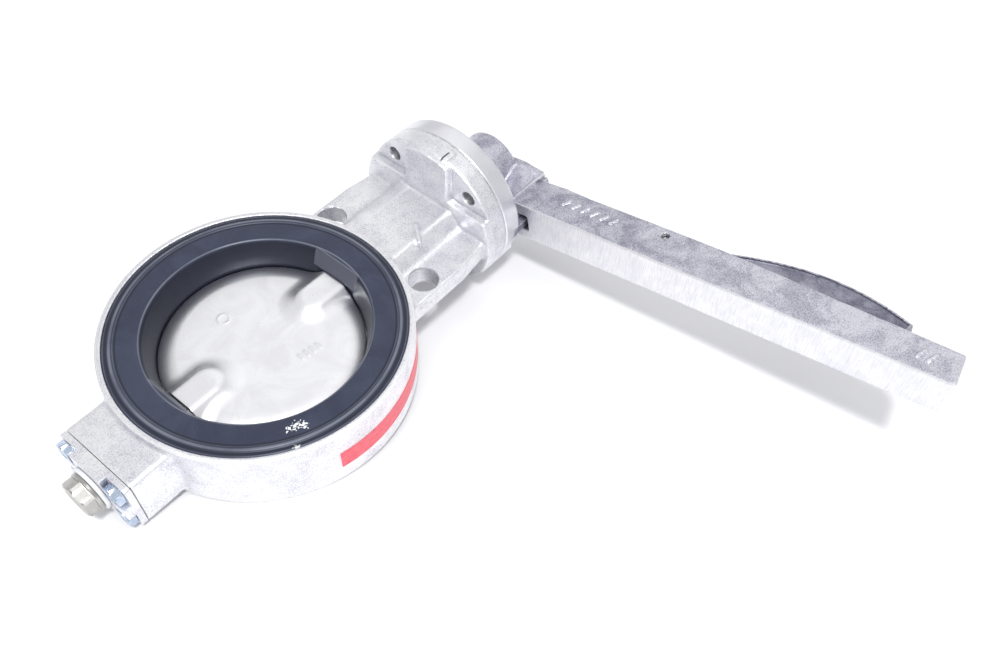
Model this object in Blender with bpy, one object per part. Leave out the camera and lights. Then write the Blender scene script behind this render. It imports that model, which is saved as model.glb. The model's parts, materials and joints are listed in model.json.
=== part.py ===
"""Wafer butterfly valve, nominal bore 150 mm, with a latching hand lever.

The valve frame has its origin where the stem axis crosses the bore axis:
+Z along the bore, +X along the stem towards the lever. The whole assembly
hangs from one empty, placed so that the bottom centre of its box is at the
world origin. All lengths are in metres.
"""
import math

import bmesh
import bpy
from mathutils import Matrix, Vector

MM = 0.001
GAP = 0.3 * MM              # clearance kept between neighbouring pieces

# Ring and liner
RING_R = 103.5 * MM         # outer radius of the wafer ring
RING_HALF = 25.5 * MM       # half of the ring's face-to-face width
LINER_HALF = 26.0 * MM      # half of the rubber's face-to-face width
LINER_R = 99.8 * MM         # outer radius of the rubber faces
LINER_BACK_R = 82.0 * MM    # radius of the rubber sleeve inside the ring
LINER_FLANGE = 4.3 * MM     # thickness of the rubber faces
THROAT_R = 70.0 * MM        # bore radius where the disc seals
MOUTH_R = 74.6 * MM         # bore radius near the faces
BEAD_R = 93.7 * MM          # radius of the raised sealing bead
PAD_X = 68.5 * MM           # flat pads of the liner around the stem holes
PAD_HALF_Y = 30.0 * MM
PAD_HALF_Z = 12.0 * MM
PAD_TOP_X = 76.0 * MM
PAD_TOP_Z = 23.6 * MM
RING_STEPS = 60

# Stem
STEM_R = 9.0 * MM
STEM_SQUARE = 14.0 * MM     # across flats of the driven ends
STEM_INNER_X = 29.0 * MM    # where the stems end inside the disc
STEM_ROUND_X = 68.3 * MM    # where their squares turn round
STEM_BORE_R = 11.6 * MM
BUSH_R = 11.3 * MM
BUSH_BORE_R = 9.1 * MM

# Neck, wings and top flange (ISO 5211 F10)
EYE_PCD = 240.0 * MM        # pipe-bolt circle
EYE_ANGLE = math.radians(22.5)
EYE_R = 10.8 * MM
WING_HALF_Y = 59.5 * MM
WING_HALF_Z = 8.0 * MM
HOUSING_TOP = 20.0 * MM     # half height of the stem housing
HOUSING_TOP_Y = 24.0 * MM
HOUSING_FOOT_Y = 34.0 * MM
FLANGE_R = 61.5 * MM
FLANGE_X = 171.0 * MM       # back of the flange disc
FLANGE_FACE_X = 185.7 * MM  # face that the notch plate sits on
CROSS_X = 165.0 * MM        # front of the raised cross on the flange
CROSS_ARM_Y = 20.0 * MM
CROSS_ARM_Z = 26.0 * MM
FLANGE_PCD = 102.0 * MM
FLANGE_HOLE_R = 5.6 * MM
COUNTERBORE_R = 15.0 * MM
COUNTERBORE_X = 174.0 * MM

# Bottom hub and cover
HUB_X = -127.5 * MM
HUB_HALF_Y = 31.5 * MM
HUB_HALF_Z = 21.5 * MM
COVER_X = HUB_X - GAP
COVER_SEAL_R = 16.0 * MM    # outer radius of the seal ring sunk in the cover
COVER_SEAL_T = 2.6 * MM
COVER_T = 9.6 * MM
POCKET_DEPTH = 5.2 * MM
POCKET_Y = 14.5 * MM
POCKET_Z = 5.4 * MM
COVER_BOLT_Y = 22.8 * MM
COVER_BOLT_Z = 13.4 * MM
COVER_BOLT_R = 4.0 * MM
COVER_BOLT_LENGTH = 24.0 * MM
COVER_BOLT_FLATS = 13.0 * MM
COVER_BOLT_HEAD = 5.3 * MM
WASHER_R = 16.0 * MM
WASHER_T = 2.6 * MM
COLLAR_R = 14.2 * MM
COLLAR_T = 2.6 * MM
STUB_FLATS = 23.0 * MM
STUB_HEX_LENGTH = 7.6 * MM

# Disc
DISC_R = 69.6 * MM
DISC_RIM_HALF = 3.6 * MM
DISC_FLAT_R = 62.5 * MM
DISC_FLAT_HALF = 7.0 * MM
BOSS_TOP = 13.0 * MM
BOSS_FOOT_Y = 17.0 * MM
BOSS_TOP_Y = 9.5 * MM
BOSS_FOOT_X = 25.0 * MM     # inner end of a boss at its foot
BOSS_TOP_X = 38.0 * MM      # inner end of a boss at its top
BOSS_END_X = 68.0 * MM

# Notch plate
PLATE_X = FLANGE_FACE_X + GAP
PLATE_T = 15.0 * MM
PLATE_BORE_R = 9.4 * MM
NOTCH_COUNT = 7
NOTCH_STEP = math.radians(15.0)
NOTCH_DEPTH = 5.5 * MM
NOTCH_WIDTH = 9.2 * MM
NOTCH_R = 47.0 * MM
PLATE_SCREW_PCD = 84.0 * MM
PLATE_SCREW_ANGLES = (65.0, 155.0, 335.0)   # degrees from +Y towards +Z, clear of the notches
PLATE_SCREW_R = 4.0 * MM
PLATE_SCREW_FLATS = 13.0 * MM
PLATE_SCREW_HEAD = 5.3 * MM
PLATE_SCREW_LENGTH = 20.0 * MM
PLATE_SPOT_R = 9.0 * MM
PLATE_SPOT_DEPTH = 6.0 * MM

# Lever: s runs along the arm from the stem, n across its broad edge face
LEVER_SLOPE = math.radians(11.5)
HUB_R = 26.0 * MM
LEVER_HUB_X = 203.5 * MM
LEVER_HUB_END_X = 245.0 * MM
ARM_X = 209.7 * MM          # inboard face of the arm
ARM_ROOT_S = 46.0 * MM
ARM_TIP_S = 382.0 * MM
ARM_TOP_N = 1.7 * MM
ARM_ROOT_DEPTH = 32.0 * MM
ARM_TIP_DEPTH = 28.2 * MM
ARM_FLARE = 10.2            # how far the outboard edge flares out at the root, in mm
ARM_MID_X = 243.8 * MM
ARM_TIP_X = 236.5 * MM
TIP_RAKE_N = 5.8 * MM       # how far the end face leans back over the arm's depth
TIP_RAKE_X = 4.0 * MM       # and across its width
TIP_ZONE = 12.0 * MM        # length of arm that the rake takes in
CHAMFER_X = 10.0 * MM       # bevel of the outboard top edge at the root
CHAMFER_N = 2.8 * MM
CHAMFER_END_S = 200.0 * MM
ARM_WALL = 3.8 * MM
HUB_WEB_N = -5.0 * MM       # top of the web beside the hub
HUB_WALL_N = 6.8 * MM       # highest point of the wall on its outboard side
HUB_WALL_X = 251.0 * MM
HUB_WALL_T = 6.5 * MM
LEVER_SCREW_R = 4.0 * MM
LEVER_SCREW_FLATS = 13.0 * MM
LEVER_SCREW_HEAD = 5.5 * MM
LEVER_WASHER_R = 13.5 * MM
LEVER_WASHER_T = 2.5 * MM

# Trigger
PIN_S = 167.8 * MM
PIN_X = 235.9 * MM
PIN_R = 2.75 * MM
TRIGGER_TOP_N = -3.2 * MM
TRIGGER_LOW_N = -21.5 * MM
LATCH_ARM_X = 228.0 * MM    # inboard side of the latch arm at the tooth
LATCH_ARM_T = 7.0 * MM
SPRING_S = 205.0 * MM       # centre line of the return spring
SPRING_N = -12.5 * MM
SPRING_R = 4.4 * MM         # to the middle of the wire
SPRING_WIRE_R = 0.6 * MM
SPRING_TURNS = 6
SPRING_PLAY = 2.6 * MM      # free travel left for the trigger
SPRING_X = 224.0 * MM       # the pocket in the trigger runs from here
SPRING_END_X = 236.0 * MM   # to here
TOOTH_R = 57.5 * MM         # distance of the tooth from the stem axis
TOOTH_LENGTH = 7.0 * MM
TOOTH_WIDTH = 8.0 * MM
TOOTH_WINDOW = (48.6 * MM, 61.8 * MM)     # s limits of the tooth's window in the lever
LATCH_ARM_S = 51.4 * MM     # where the latch arm ends
TOOTH_ANGLE = math.radians(3.1)
GRIP_CURVE = ((198.0 * MM, 243.4 * MM), (240.0 * MM, 260.0 * MM), (285.0 * MM, 272.0 * MM),
              (341.0 * MM, 249.0 * MM))     # Bezier points of the grip's outer edge, s and x

# Marking tape on the ring
TAPE_LOW_Z = -11.6 * MM
TAPE_HIGH_Z = 4.7 * MM
TAPE_T = 0.25 * MM
TAPE_START = math.radians(-105.0)
TAPE_END = math.radians(-38.0)

# Local z to world x, local x to world y, local y to world z
ALONG_X = Matrix(((0, 0, 1, 0), (1, 0, 0, 0), (0, 1, 0, 0), (0, 0, 0, 1)))
# Local z to the lever frame's y, local x to its z, local y to its x
ALONG_LEVER_X = Matrix(((0, 1, 0, 0), (0, 0, 1, 0), (1, 0, 0, 0), (0, 0, 0, 1)))


def clear_scene():
    """Remove whatever objects the file starts with."""
    for item in list(bpy.data.objects):
        bpy.data.objects.remove(item, do_unlink=True)


def material(name, colour, roughness, metallic):
    """Return a Principled material with one colour."""
    made = bpy.data.materials.new(name)
    made.use_nodes = True
    shader = made.node_tree.nodes["Principled BSDF"]
    shader.inputs["Base Color"].default_value = (*colour, 1.0)
    shader.inputs["Roughness"].default_value = roughness
    shader.inputs["Metallic"].default_value = metallic
    return made


def empty(name, parent=None, matrix=None):
    """Add an empty that carries other pieces."""
    item = bpy.data.objects.new(name, None)
    bpy.context.collection.objects.link(item)
    item.parent = parent
    if matrix is not None:
        item.matrix_basis = matrix
    return item


def add(name, bm, parent, finish, smooth_angle=30.0):
    """Turn a bmesh into a named object under a parent."""
    bmesh.ops.recalc_face_normals(bm, faces=bm.faces)
    mesh = bpy.data.meshes.new(name)
    bm.to_mesh(mesh)
    bm.free()
    mesh.shade_smooth()
    mesh.set_sharp_from_angle(angle=math.radians(smooth_angle))
    item = bpy.data.objects.new(name, mesh)
    bpy.context.collection.objects.link(item)
    item.parent = parent
    if finish is not None:
        mesh.materials.append(finish)
    return item


def combine(target, bm, operation):
    """Add or cut a shape with a boolean modifier and a hidden helper object."""
    helper = add(f"{operation.lower()}_{target.name}", bm, target.parent, None)
    helper.hide_render = True
    helper.display_type = "WIRE"
    step = target.modifiers.new(operation.title(), "BOOLEAN")
    step.operation = operation
    step.object = helper
    step.solver = "EXACT"


def join(target, bm):
    combine(target, bm, "UNION")


def cut(target, bm):
    combine(target, bm, "DIFFERENCE")


def turned(profile, matrix=None, steps=48, ring=False):
    """Spin (radius, height) points about the local z axis.

    A ring's profile is a closed loop clear of the axis. Any other profile
    starts and ends on the axis.
    """
    bm = bmesh.new()
    rows = []
    for radius, height in profile:
        if radius == 0.0:
            rows.append([bm.verts.new((0.0, 0.0, height))] * steps)
            continue
        turn = [2.0 * math.pi * k / steps for k in range(steps)]
        rows.append([bm.verts.new((radius * math.cos(a), radius * math.sin(a), height)) for a in turn])
    pairs = list(zip(rows, rows[1:]))
    if ring:
        pairs.append((rows[-1], rows[0]))
    for low, high in pairs:
        for k in range(steps):
            corner = [low[k], low[(k + 1) % steps], high[(k + 1) % steps], high[k]]
            bm.faces.new(list(dict.fromkeys(corner)))
    if matrix is not None:
        bm.transform(matrix)
    return bm


def rod(radius, low, high, matrix=None, steps=32, centre=(0.0, 0.0)):
    """A round bar between two heights, off-centre where asked."""
    bm = turned([(0.0, low), (radius, low), (radius, high), (0.0, high)], None, steps)
    bmesh.ops.translate(bm, verts=bm.verts, vec=(*centre, 0.0))
    if matrix is not None:
        bm.transform(matrix)
    return bm


def washer(inner, outer, low, high, matrix=None, steps=40):
    """A flat ring between two heights."""
    loop = [(inner, low), (outer, low), (outer, high), (inner, high)]
    return turned(loop, matrix, steps, ring=True)


def prism(outline, low, high, matrix=None):
    """Extrude a closed outline along the local z axis."""
    bm = bmesh.new()
    base = bm.faces.new([bm.verts.new((u, v, low)) for u, v in outline])
    grown = bmesh.ops.extrude_face_region(bm, geom=[base])["geom"]
    moved = [part for part in grown if isinstance(part, bmesh.types.BMVert)]
    bmesh.ops.translate(bm, verts=moved, vec=(0.0, 0.0, high - low))
    if matrix is not None:
        bm.transform(matrix)
    return bm


def arc(centre, radius, start, end, steps):
    """Points on an arc, both ends included. Angles are in degrees."""
    points = []
    for k in range(steps + 1):
        angle = math.radians(start + (end - start) * k / steps)
        points.append((centre[0] + radius * math.cos(angle), centre[1] + radius * math.sin(angle)))
    return points


def rounded_rectangle(half_u, half_v, radius, steps=4):
    """A rectangle with round corners, centred on the origin."""
    points = []
    for quarter, (su, sv) in enumerate(((1, 1), (-1, 1), (-1, -1), (1, -1))):
        corner = (su * (half_u - radius), sv * (half_v - radius))
        points += arc(corner, radius, 90.0 * quarter, 90.0 * quarter + 90.0, steps)
    return points


def hexagon(flats):
    """A regular hexagon with its given width across flats."""
    radius = flats / math.sqrt(3.0)
    return [(radius * math.cos(math.radians(60 * k + 30)), radius * math.sin(math.radians(60 * k + 30)))
            for k in range(6)]


def at(bm, *vector):
    """Shift a shape and hand it back."""
    bmesh.ops.translate(bm, verts=bm.verts, vec=vector)
    return bm


def box(x, y, z):
    """A block given by its low and high limit on each axis."""
    return prism([(x[0], y[0]), (x[1], y[0]), (x[1], y[1]), (x[0], y[1])], z[0], z[1])


def eye_centres():
    """Centres of the two pipe-bolt eyes."""
    radius = EYE_PCD / 2.0
    return [(radius * math.cos(EYE_ANGLE), side * radius * math.sin(EYE_ANGLE)) for side in (1, -1)]


def flange_holes():
    """Centres of the four flange holes in the YZ plane."""
    reach = FLANGE_PCD / 2.0 * math.sqrt(0.5)
    return [(reach, reach), (-reach, reach), (-reach, -reach), (reach, -reach)]


def plate_screw_places():
    """Centres of the notch plate's screws in the YZ plane."""
    turns = [math.radians(angle) for angle in PLATE_SCREW_ANGLES]
    radius = PLATE_SCREW_PCD / 2.0
    return [(radius * math.cos(turn), radius * math.sin(turn)) for turn in turns]


def cover_bolt_places():
    return [(sy * COVER_BOLT_Y, sz * COVER_BOLT_Z) for sy in (1, -1) for sz in (1, -1)]


def ring_casting():
    """The bare ring, with small chamfers at its outer corners."""
    edge = 1.2 * MM
    inner = LINER_BACK_R - 4.0 * MM
    loop = [(inner, -RING_HALF), (RING_R - edge, -RING_HALF), (RING_R, edge - RING_HALF),
            (RING_R, RING_HALF - edge), (RING_R - edge, RING_HALF), (inner, RING_HALF)]
    return turned(loop, None, RING_STEPS, ring=True)


def wing_plate():
    """The plate that carries the two bolt eyes, tapering to the flange."""
    root_x = 70.0 * MM
    taper_x = 140.0 * MM
    end_y = WING_HALF_Y - 4.0 * MM
    outline = [(root_x, -WING_HALF_Y), (taper_x, -WING_HALF_Y), (FLANGE_X + MM, -end_y),
               (FLANGE_X + MM, end_y), (taper_x, WING_HALF_Y), (root_x, WING_HALF_Y)]
    return prism(outline, -WING_HALF_Z, WING_HALF_Z)


def stem_housing():
    """The raised middle of the neck around the stem."""
    foot = WING_HALF_Z - MM
    half = [(HOUSING_FOOT_Y, -foot), (HOUSING_FOOT_Y, foot), (HOUSING_TOP_Y, HOUSING_TOP)]
    outline = half + [(-y, z) for y, z in reversed(half[1:])]
    outline += [(-HOUSING_FOOT_Y, -foot), (-HOUSING_TOP_Y, -HOUSING_TOP), (HOUSING_TOP_Y, -HOUSING_TOP)]
    return prism(outline, 80.0 * MM, FLANGE_X + MM, ALONG_X)


def flange_cross():
    """The raised cross on the flange's back, cut to the flange's circle."""
    half_angle_y = math.degrees(math.asin(CROSS_ARM_Y / FLANGE_R))
    half_angle_z = math.degrees(math.asin(CROSS_ARM_Z / FLANGE_R))
    radius = FLANGE_R - 0.4 * MM
    outline = []
    for quarter in range(4):
        half = half_angle_z if quarter % 2 == 0 else half_angle_y
        outline += arc((0.0, 0.0), radius, 90.0 * quarter - half, 90.0 * quarter + half, 6)
        inner_y = CROSS_ARM_Y * (1, -1, -1, 1)[quarter]
        inner_z = CROSS_ARM_Z * (1, 1, -1, -1)[quarter]
        outline.append((inner_y, inner_z))
    return prism(outline, CROSS_X, FLANGE_X + MM, ALONG_X)


def seat_pocket():
    """The room inside the ring for the liner, with a clear bore."""
    back = LINER_BACK_R + GAP
    face = LINER_R + GAP
    step = LINER_HALF - LINER_FLANGE - GAP
    over = RING_HALF + 5.0 * MM
    profile = [(0.0, -over), (face, -over), (face, -step), (back, -step),
               (back, step), (face, step), (face, over), (0.0, over)]
    return turned(profile, None, RING_STEPS)


def make_body(parent, finish):
    """Ring, hub, neck, wings and flange as one casting."""
    body = add("body_casting", ring_casting(), parent, finish)
    hub = rounded_rectangle(HUB_HALF_Y, HUB_HALF_Z, 3.0 * MM)
    join(body, prism(hub, HUB_X, -80.0 * MM, ALONG_X))
    join(body, wing_plate())
    join(body, stem_housing())
    edge = 1.0 * MM
    flange = [(0.0, FLANGE_X), (FLANGE_R - edge, FLANGE_X), (FLANGE_R, FLANGE_X + edge),
              (FLANGE_R, FLANGE_FACE_X - edge), (FLANGE_R - edge, FLANGE_FACE_X), (0.0, FLANGE_FACE_X)]
    join(body, turned(flange, ALONG_X, 64))
    join(body, flange_cross())
    cut(body, seat_pocket())
    cut(body, rod(STEM_BORE_R, HUB_X - MM, FLANGE_FACE_X + MM, ALONG_X))
    cut(body, rod(COUNTERBORE_R, COUNTERBORE_X, FLANGE_FACE_X + MM, ALONG_X))
    for centre in eye_centres():
        cut(body, rod(EYE_R, -30.0 * MM, 30.0 * MM, None, 40, centre))
    for centre in flange_holes():
        cut(body, rod(FLANGE_HOLE_R, CROSS_X - MM, FLANGE_FACE_X + MM, ALONG_X, 24, centre))
    for centre in cover_bolt_places():
        depth = HUB_X + COVER_BOLT_LENGTH
        cut(body, rod(COVER_BOLT_R + GAP, HUB_X - MM, depth, ALONG_X, 16, centre))
    for centre in plate_screw_places():
        depth = PLATE_X + PLATE_T - PLATE_SPOT_DEPTH - PLATE_SCREW_LENGTH - MM
        cut(body, rod(PLATE_SCREW_R + GAP, depth, FLANGE_FACE_X + MM, ALONG_X, 16, centre))
    return body


def liner_half_profile():
    """Half of the liner's inner and face outline, from the throat outwards."""
    top = LINER_HALF
    bead = 0.35 * MM
    return [(THROAT_R, 0.0), (THROAT_R, 6.0 * MM), (THROAT_R + 1.4 * MM, 12.0 * MM),
            (THROAT_R + 3.0 * MM, 18.0 * MM), (MOUTH_R, 23.0 * MM), (MOUTH_R + 1.4 * MM, 25.2 * MM),
            (MOUTH_R + 3.6 * MM, top - bead), (BEAD_R - 3.0 * MM, top - bead),
            (BEAD_R - 1.4 * MM, top), (BEAD_R + 1.4 * MM, top), (BEAD_R + 2.6 * MM, top - 0.9 * MM),
            (LINER_R, top - 0.6 * MM), (LINER_R, top - LINER_FLANGE), (LINER_BACK_R, top - LINER_FLANGE)]


def stem_pad(side):
    """A flat pad around a stem hole, with ledges that slope out to the mouth."""
    outline = [(PAD_TOP_X, -PAD_TOP_Z), (PAD_X, -PAD_HALF_Z), (PAD_X, PAD_HALF_Z), (PAD_TOP_X, PAD_TOP_Z)]
    to_xz = Matrix(((side, 0, 0, 0), (0, 0, 1, 0), (0, 1, 0, 0), (0, 0, 0, 1)))
    return prism(outline, -PAD_HALF_Y, PAD_HALF_Y, to_xz)


def make_liner(parent, finish):
    """The rubber seat that wraps the ring's bore and both faces."""
    half = liner_half_profile()
    loop = half + [(radius, -height) for radius, height in reversed(half[1:])]
    liner = add("seat_liner", turned(loop, None, RING_STEPS, ring=True), parent, finish, 25.0)
    for side in (1, -1):
        join(liner, stem_pad(side))
    cut(liner, rod(STEM_R + GAP, -90.0 * MM, 90.0 * MM, ALONG_X))
    return liner


def make_tape(parent, finish):
    """A strip of marking tape bent round the ring's outside."""
    inner = RING_R + 0.05 * MM
    steps = 24
    start = math.degrees(TAPE_START)
    end = math.degrees(TAPE_END)
    outline = arc((0.0, 0.0), inner + TAPE_T, start, end, steps)
    outline += reversed(arc((0.0, 0.0), inner, start, end, steps))
    return add("marking_tape", prism(outline, TAPE_LOW_Z, TAPE_HIGH_Z), parent, finish)


def make_disc(parent, finish):
    """The lens-edged disc with a tapered stem boss on each side of each end."""
    edge = DISC_RIM_HALF
    profile = [(0.0, -DISC_FLAT_HALF), (DISC_FLAT_R, -DISC_FLAT_HALF), (DISC_R - MM, -edge),
               (DISC_R, 0.6 * MM - edge), (DISC_R, edge - 0.6 * MM), (DISC_R - MM, edge),
               (DISC_FLAT_R, DISC_FLAT_HALF), (0.0, DISC_FLAT_HALF)]
    disc = add("disc", turned(profile, None, RING_STEPS), parent, finish)
    for side in (1, -1):
        for face in (1, -1):
            join(disc, boss(side, face))
    for side in (1, -1):
        half = STEM_SQUARE / 2.0 + GAP
        reach = sorted((side * (STEM_INNER_X - GAP), side * 75.0 * MM))
        cut(disc, box(reach, (-half, half), (-half, half)))
        trim = sorted((side * BOSS_END_X, side * 80.0 * MM))
        cut(disc, box(trim, (-30.0 * MM, 30.0 * MM), (-30.0 * MM, 30.0 * MM)))
    return disc


def skin_between(first, second):
    """A closed solid between two outlines that have the same number of points."""
    bm = bmesh.new()
    low = [bm.verts.new(point) for point in first]
    high = [bm.verts.new(point) for point in second]
    for k in range(len(low)):
        follow = (k + 1) % len(low)
        bm.faces.new((low[k], low[follow], high[follow], high[k]))
    bm.faces.new(low)
    bm.faces.new(high)
    return bm


def boss(side, face):
    """One boss: a U outline at its foot that tapers to a smaller U at its top."""
    loops = []
    levels = ((BOSS_FOOT_Y, BOSS_FOOT_X + BOSS_FOOT_Y, DISC_FLAT_HALF - MM),
              (BOSS_TOP_Y, BOSS_TOP_X + BOSS_TOP_Y, BOSS_TOP))
    for half, centre_x, height in levels:
        end = math.sqrt((DISC_R - GAP) ** 2 - half ** 2)
        outline = [(end, half)] + arc((centre_x, 0.0), half, 90.0, 270.0, 12) + [(end, -half)]
        loops.append([(side * x, y, face * height) for x, y in outline])
    return skin_between(*loops)


def square_bar(low, high):
    """The square end of a stem."""
    half = STEM_SQUARE / 2.0
    return prism([(half, half), (-half, half), (-half, -half), (half, -half)], low, high, ALONG_X)


def make_drive_shaft(parent, finish):
    """The upper stem: square in the disc, round in the neck, square in the lever."""
    square_x = LEVER_HUB_X - 1.5 * MM
    end_x = LEVER_HUB_END_X - 1.5 * MM
    groove = 8.0 * MM
    ring_low, ring_high = 179.6 * MM, 182.4 * MM
    profile = [(0.0, STEM_ROUND_X), (STEM_R, STEM_ROUND_X), (STEM_R, ring_low), (groove, ring_low),
               (groove, ring_high), (STEM_R, ring_high), (STEM_R, square_x), (0.0, square_x)]
    shaft = add("drive_shaft", turned(profile, ALONG_X, 32), parent, finish)
    join(shaft, square_bar(STEM_INNER_X, STEM_ROUND_X + GAP / 2.0))
    join(shaft, square_bar(square_x - GAP, end_x))
    cut(shaft, rod(LEVER_SCREW_R + GAP, end_x - 24.0 * MM, end_x + MM, ALONG_X, 20))
    return shaft


def make_stub_shaft(parent, finish):
    """The lower stem, with a collar and a hexagon outside the cover."""
    collar_x = COVER_X - COVER_T - WASHER_T - 2.0 * GAP
    hex_x = collar_x - COLLAR_T
    edge = 0.7 * MM
    profile = [(0.0, -STEM_ROUND_X), (STEM_R, -STEM_ROUND_X), (STEM_R, collar_x), (COLLAR_R, collar_x),
               (COLLAR_R, hex_x + edge), (COLLAR_R - edge, hex_x), (0.0, hex_x)]
    stub = add("stub_shaft", turned(profile, ALONG_X, 40), parent, finish)
    join(stub, square_bar(-STEM_INNER_X, -STEM_ROUND_X - GAP / 2.0))
    join(stub, prism(hexagon(STUB_FLATS), hex_x + MM, hex_x - STUB_HEX_LENGTH, ALONG_X))
    return stub


def make_bushes_and_seals(parent, bronze, rubber):
    """Plain bushes and ring seals that the stems turn in."""
    places = (("upper_bush", BUSH_R, 86.0, 116.0, bronze), ("flange_bush", BUSH_R, 148.0, 170.0, bronze),
              ("lower_bush", BUSH_R, -114.0, -86.0, bronze),
              ("lower_stem_seal", BUSH_R, -122.0, -116.0, rubber),
              ("upper_stem_seal", COUNTERBORE_R - GAP, 174.4, 178.4, rubber))
    for name, outer, low, high, finish in places:
        add(name, washer(BUSH_BORE_R, outer, low * MM, high * MM, ALONG_X, 24), parent, finish)


def make_cover(parent, finish, rubber):
    """The bottom cover with four corner pockets for its bolts, and its seal ring."""
    outline = rounded_rectangle(HUB_HALF_Y, HUB_HALF_Z, 3.0 * MM)
    front = COVER_X - COVER_T
    cover = add("bottom_cover", prism(outline, front, COVER_X, ALONG_X), parent, finish)
    for sy in (1, -1):
        for sz in (1, -1):
            y = sorted((sy * POCKET_Y, sy * 40.0 * MM))
            z = sorted((sz * POCKET_Z, sz * 30.0 * MM))
            cut(cover, box((front - MM, front + POCKET_DEPTH), y, z))
    cut(cover, rod(STEM_R + GAP, front - MM, COVER_X + MM, ALONG_X))
    groove = COVER_X - COVER_SEAL_T - GAP
    cut(cover, rod(COVER_SEAL_R + GAP, groove, COVER_X + MM, ALONG_X))
    for centre in cover_bolt_places():
        cut(cover, rod(COVER_BOLT_R + GAP, front - MM, COVER_X + MM, ALONG_X, 16, centre))
    seal = washer(BUSH_R, COVER_SEAL_R, COVER_X - COVER_SEAL_T, COVER_X, ALONG_X, 24)
    add("cover_seal", seal, parent, rubber)


def make_bolt(name, parent, finish, centre, seat, head, flats, radius, length, way):
    """A hex bolt along X: its head sits at seat and its shank runs the given way."""
    edge = radius * 0.15
    tip = seat + way * length
    profile = [(0.0, seat - way * MM), (radius, seat - way * MM), (radius, tip - way * edge),
               (radius - edge, tip), (0.0, tip)]
    bolt = add(name, at(turned(profile, ALONG_X, 20), 0.0, *centre), parent, finish)
    shape = at(prism(hexagon(flats), seat, seat - way * head, ALONG_X), 0.0, *centre)
    join(bolt, shape)
    return bolt


def make_cover_bolts(parent, finish):
    seat = COVER_X - COVER_T + POCKET_DEPTH - GAP
    for number, centre in enumerate(cover_bolt_places(), start=1):
        make_bolt(f"cover_bolt_{number}", parent, finish, centre, seat, COVER_BOLT_HEAD,
                  COVER_BOLT_FLATS, COVER_BOLT_R, COVER_BOLT_LENGTH, 1)


def make_cover_washer(parent, finish):
    """The white thrust washer between the cover and the stub shaft's collar."""
    high = COVER_X - COVER_T - GAP
    bm = washer(STEM_R + GAP, WASHER_R, high - WASHER_T, high, ALONG_X)
    return add("thrust_washer", bm, parent, finish)


def make_notch_plate(parent, finish):
    """The plate whose radial notches hold the latch tooth."""
    edge = 1.5 * MM
    outer = PLATE_X + PLATE_T
    loop = [(PLATE_BORE_R, PLATE_X), (FLANGE_R - 0.5 * MM, PLATE_X), (FLANGE_R, PLATE_X + 0.5 * MM),
            (FLANGE_R, outer - edge), (FLANGE_R - edge, outer), (PLATE_BORE_R, outer)]
    plate = add("notch_plate", turned(loop, ALONG_X, 64, ring=True), parent, finish)
    for number in range(NOTCH_COUNT):
        angle = math.pi + TOOTH_ANGLE + number * NOTCH_STEP
        bm = box((outer - NOTCH_DEPTH, outer + MM), (NOTCH_R, FLANGE_R + 3.0 * MM),
                 (-NOTCH_WIDTH / 2.0, NOTCH_WIDTH / 2.0))
        bm.transform(Matrix.Rotation(angle, 4, "X"))
        cut(plate, bm)
    for centre in plate_screw_places():
        cut(plate, rod(PLATE_SCREW_R + GAP, PLATE_X - MM, outer + MM, ALONG_X, 16, centre))
        cut(plate, rod(PLATE_SPOT_R, outer - PLATE_SPOT_DEPTH, outer + MM, ALONG_X, 24, centre))
    return plate


def make_plate_screws(parent, finish):
    """Three sunk screws that hold the notch plate on the flange."""
    seat = PLATE_X + PLATE_T - PLATE_SPOT_DEPTH + GAP
    for number, centre in enumerate(plate_screw_places(), start=1):
        make_bolt(f"plate_screw_{number}", parent, finish, centre, seat, PLATE_SCREW_HEAD,
                  PLATE_SCREW_FLATS, PLATE_SCREW_R, PLATE_SCREW_LENGTH, -1)


def make_retaining_ring(parent, finish):
    """An open spring ring in the drive shaft's groove."""
    bm = washer(8.3 * MM, 12.5 * MM, 180.0 * MM, 182.0 * MM, ALONG_X, 32)
    ring = add("retaining_ring", bm, parent, finish)
    cut(ring, box((178.0 * MM, 184.0 * MM), (-3.0 * MM, 3.0 * MM), (0.0, 20.0 * MM)))
    return ring


def arm_outline():
    """The arm seen along n: s along it, x across, flared at the root."""
    flare = [(ARM_ROOT_S + along * MM, ARM_MID_X + proud * MM)
             for along, proud in ((0.0, ARM_FLARE), (4.0, 9.0), (10.0, 6.6), (22.0, 3.9), (50.0, 1.2))]
    corner = 4.0 * MM
    tip_s = ARM_TIP_S - TIP_RAKE_X
    tip = arc((tip_s - corner, ARM_TIP_X - corner), corner, 90.0, 10.0, 4)
    edge = [(210.0 * MM, ARM_MID_X)] + flare[::-1]
    return [(ARM_TIP_S, ARM_X)] + tip[::-1] + edge + [(ARM_ROOT_S, ARM_X)]


def arm_low(s):
    """n of the arm's lower face at distance s."""
    share = (s - ARM_ROOT_S) / (ARM_TIP_S - ARM_ROOT_S)
    return ARM_TOP_N - ARM_ROOT_DEPTH - (ARM_TIP_DEPTH - ARM_ROOT_DEPTH) * share


def sloped_prism(outline, top_offset, low_offset):
    """An outline in s and x between the arm's top face and its sloping lower face."""
    top = ARM_TOP_N + top_offset
    bm = prism(outline, top - MM, top)
    for vert in bm.verts:
        if vert.co.z < top - MM / 2.0:
            vert.co.z = arm_low(vert.co.x) + low_offset
            if vert.co.x > ARM_TIP_S - TIP_ZONE:
                vert.co.x -= TIP_RAKE_N
    return bm


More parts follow.
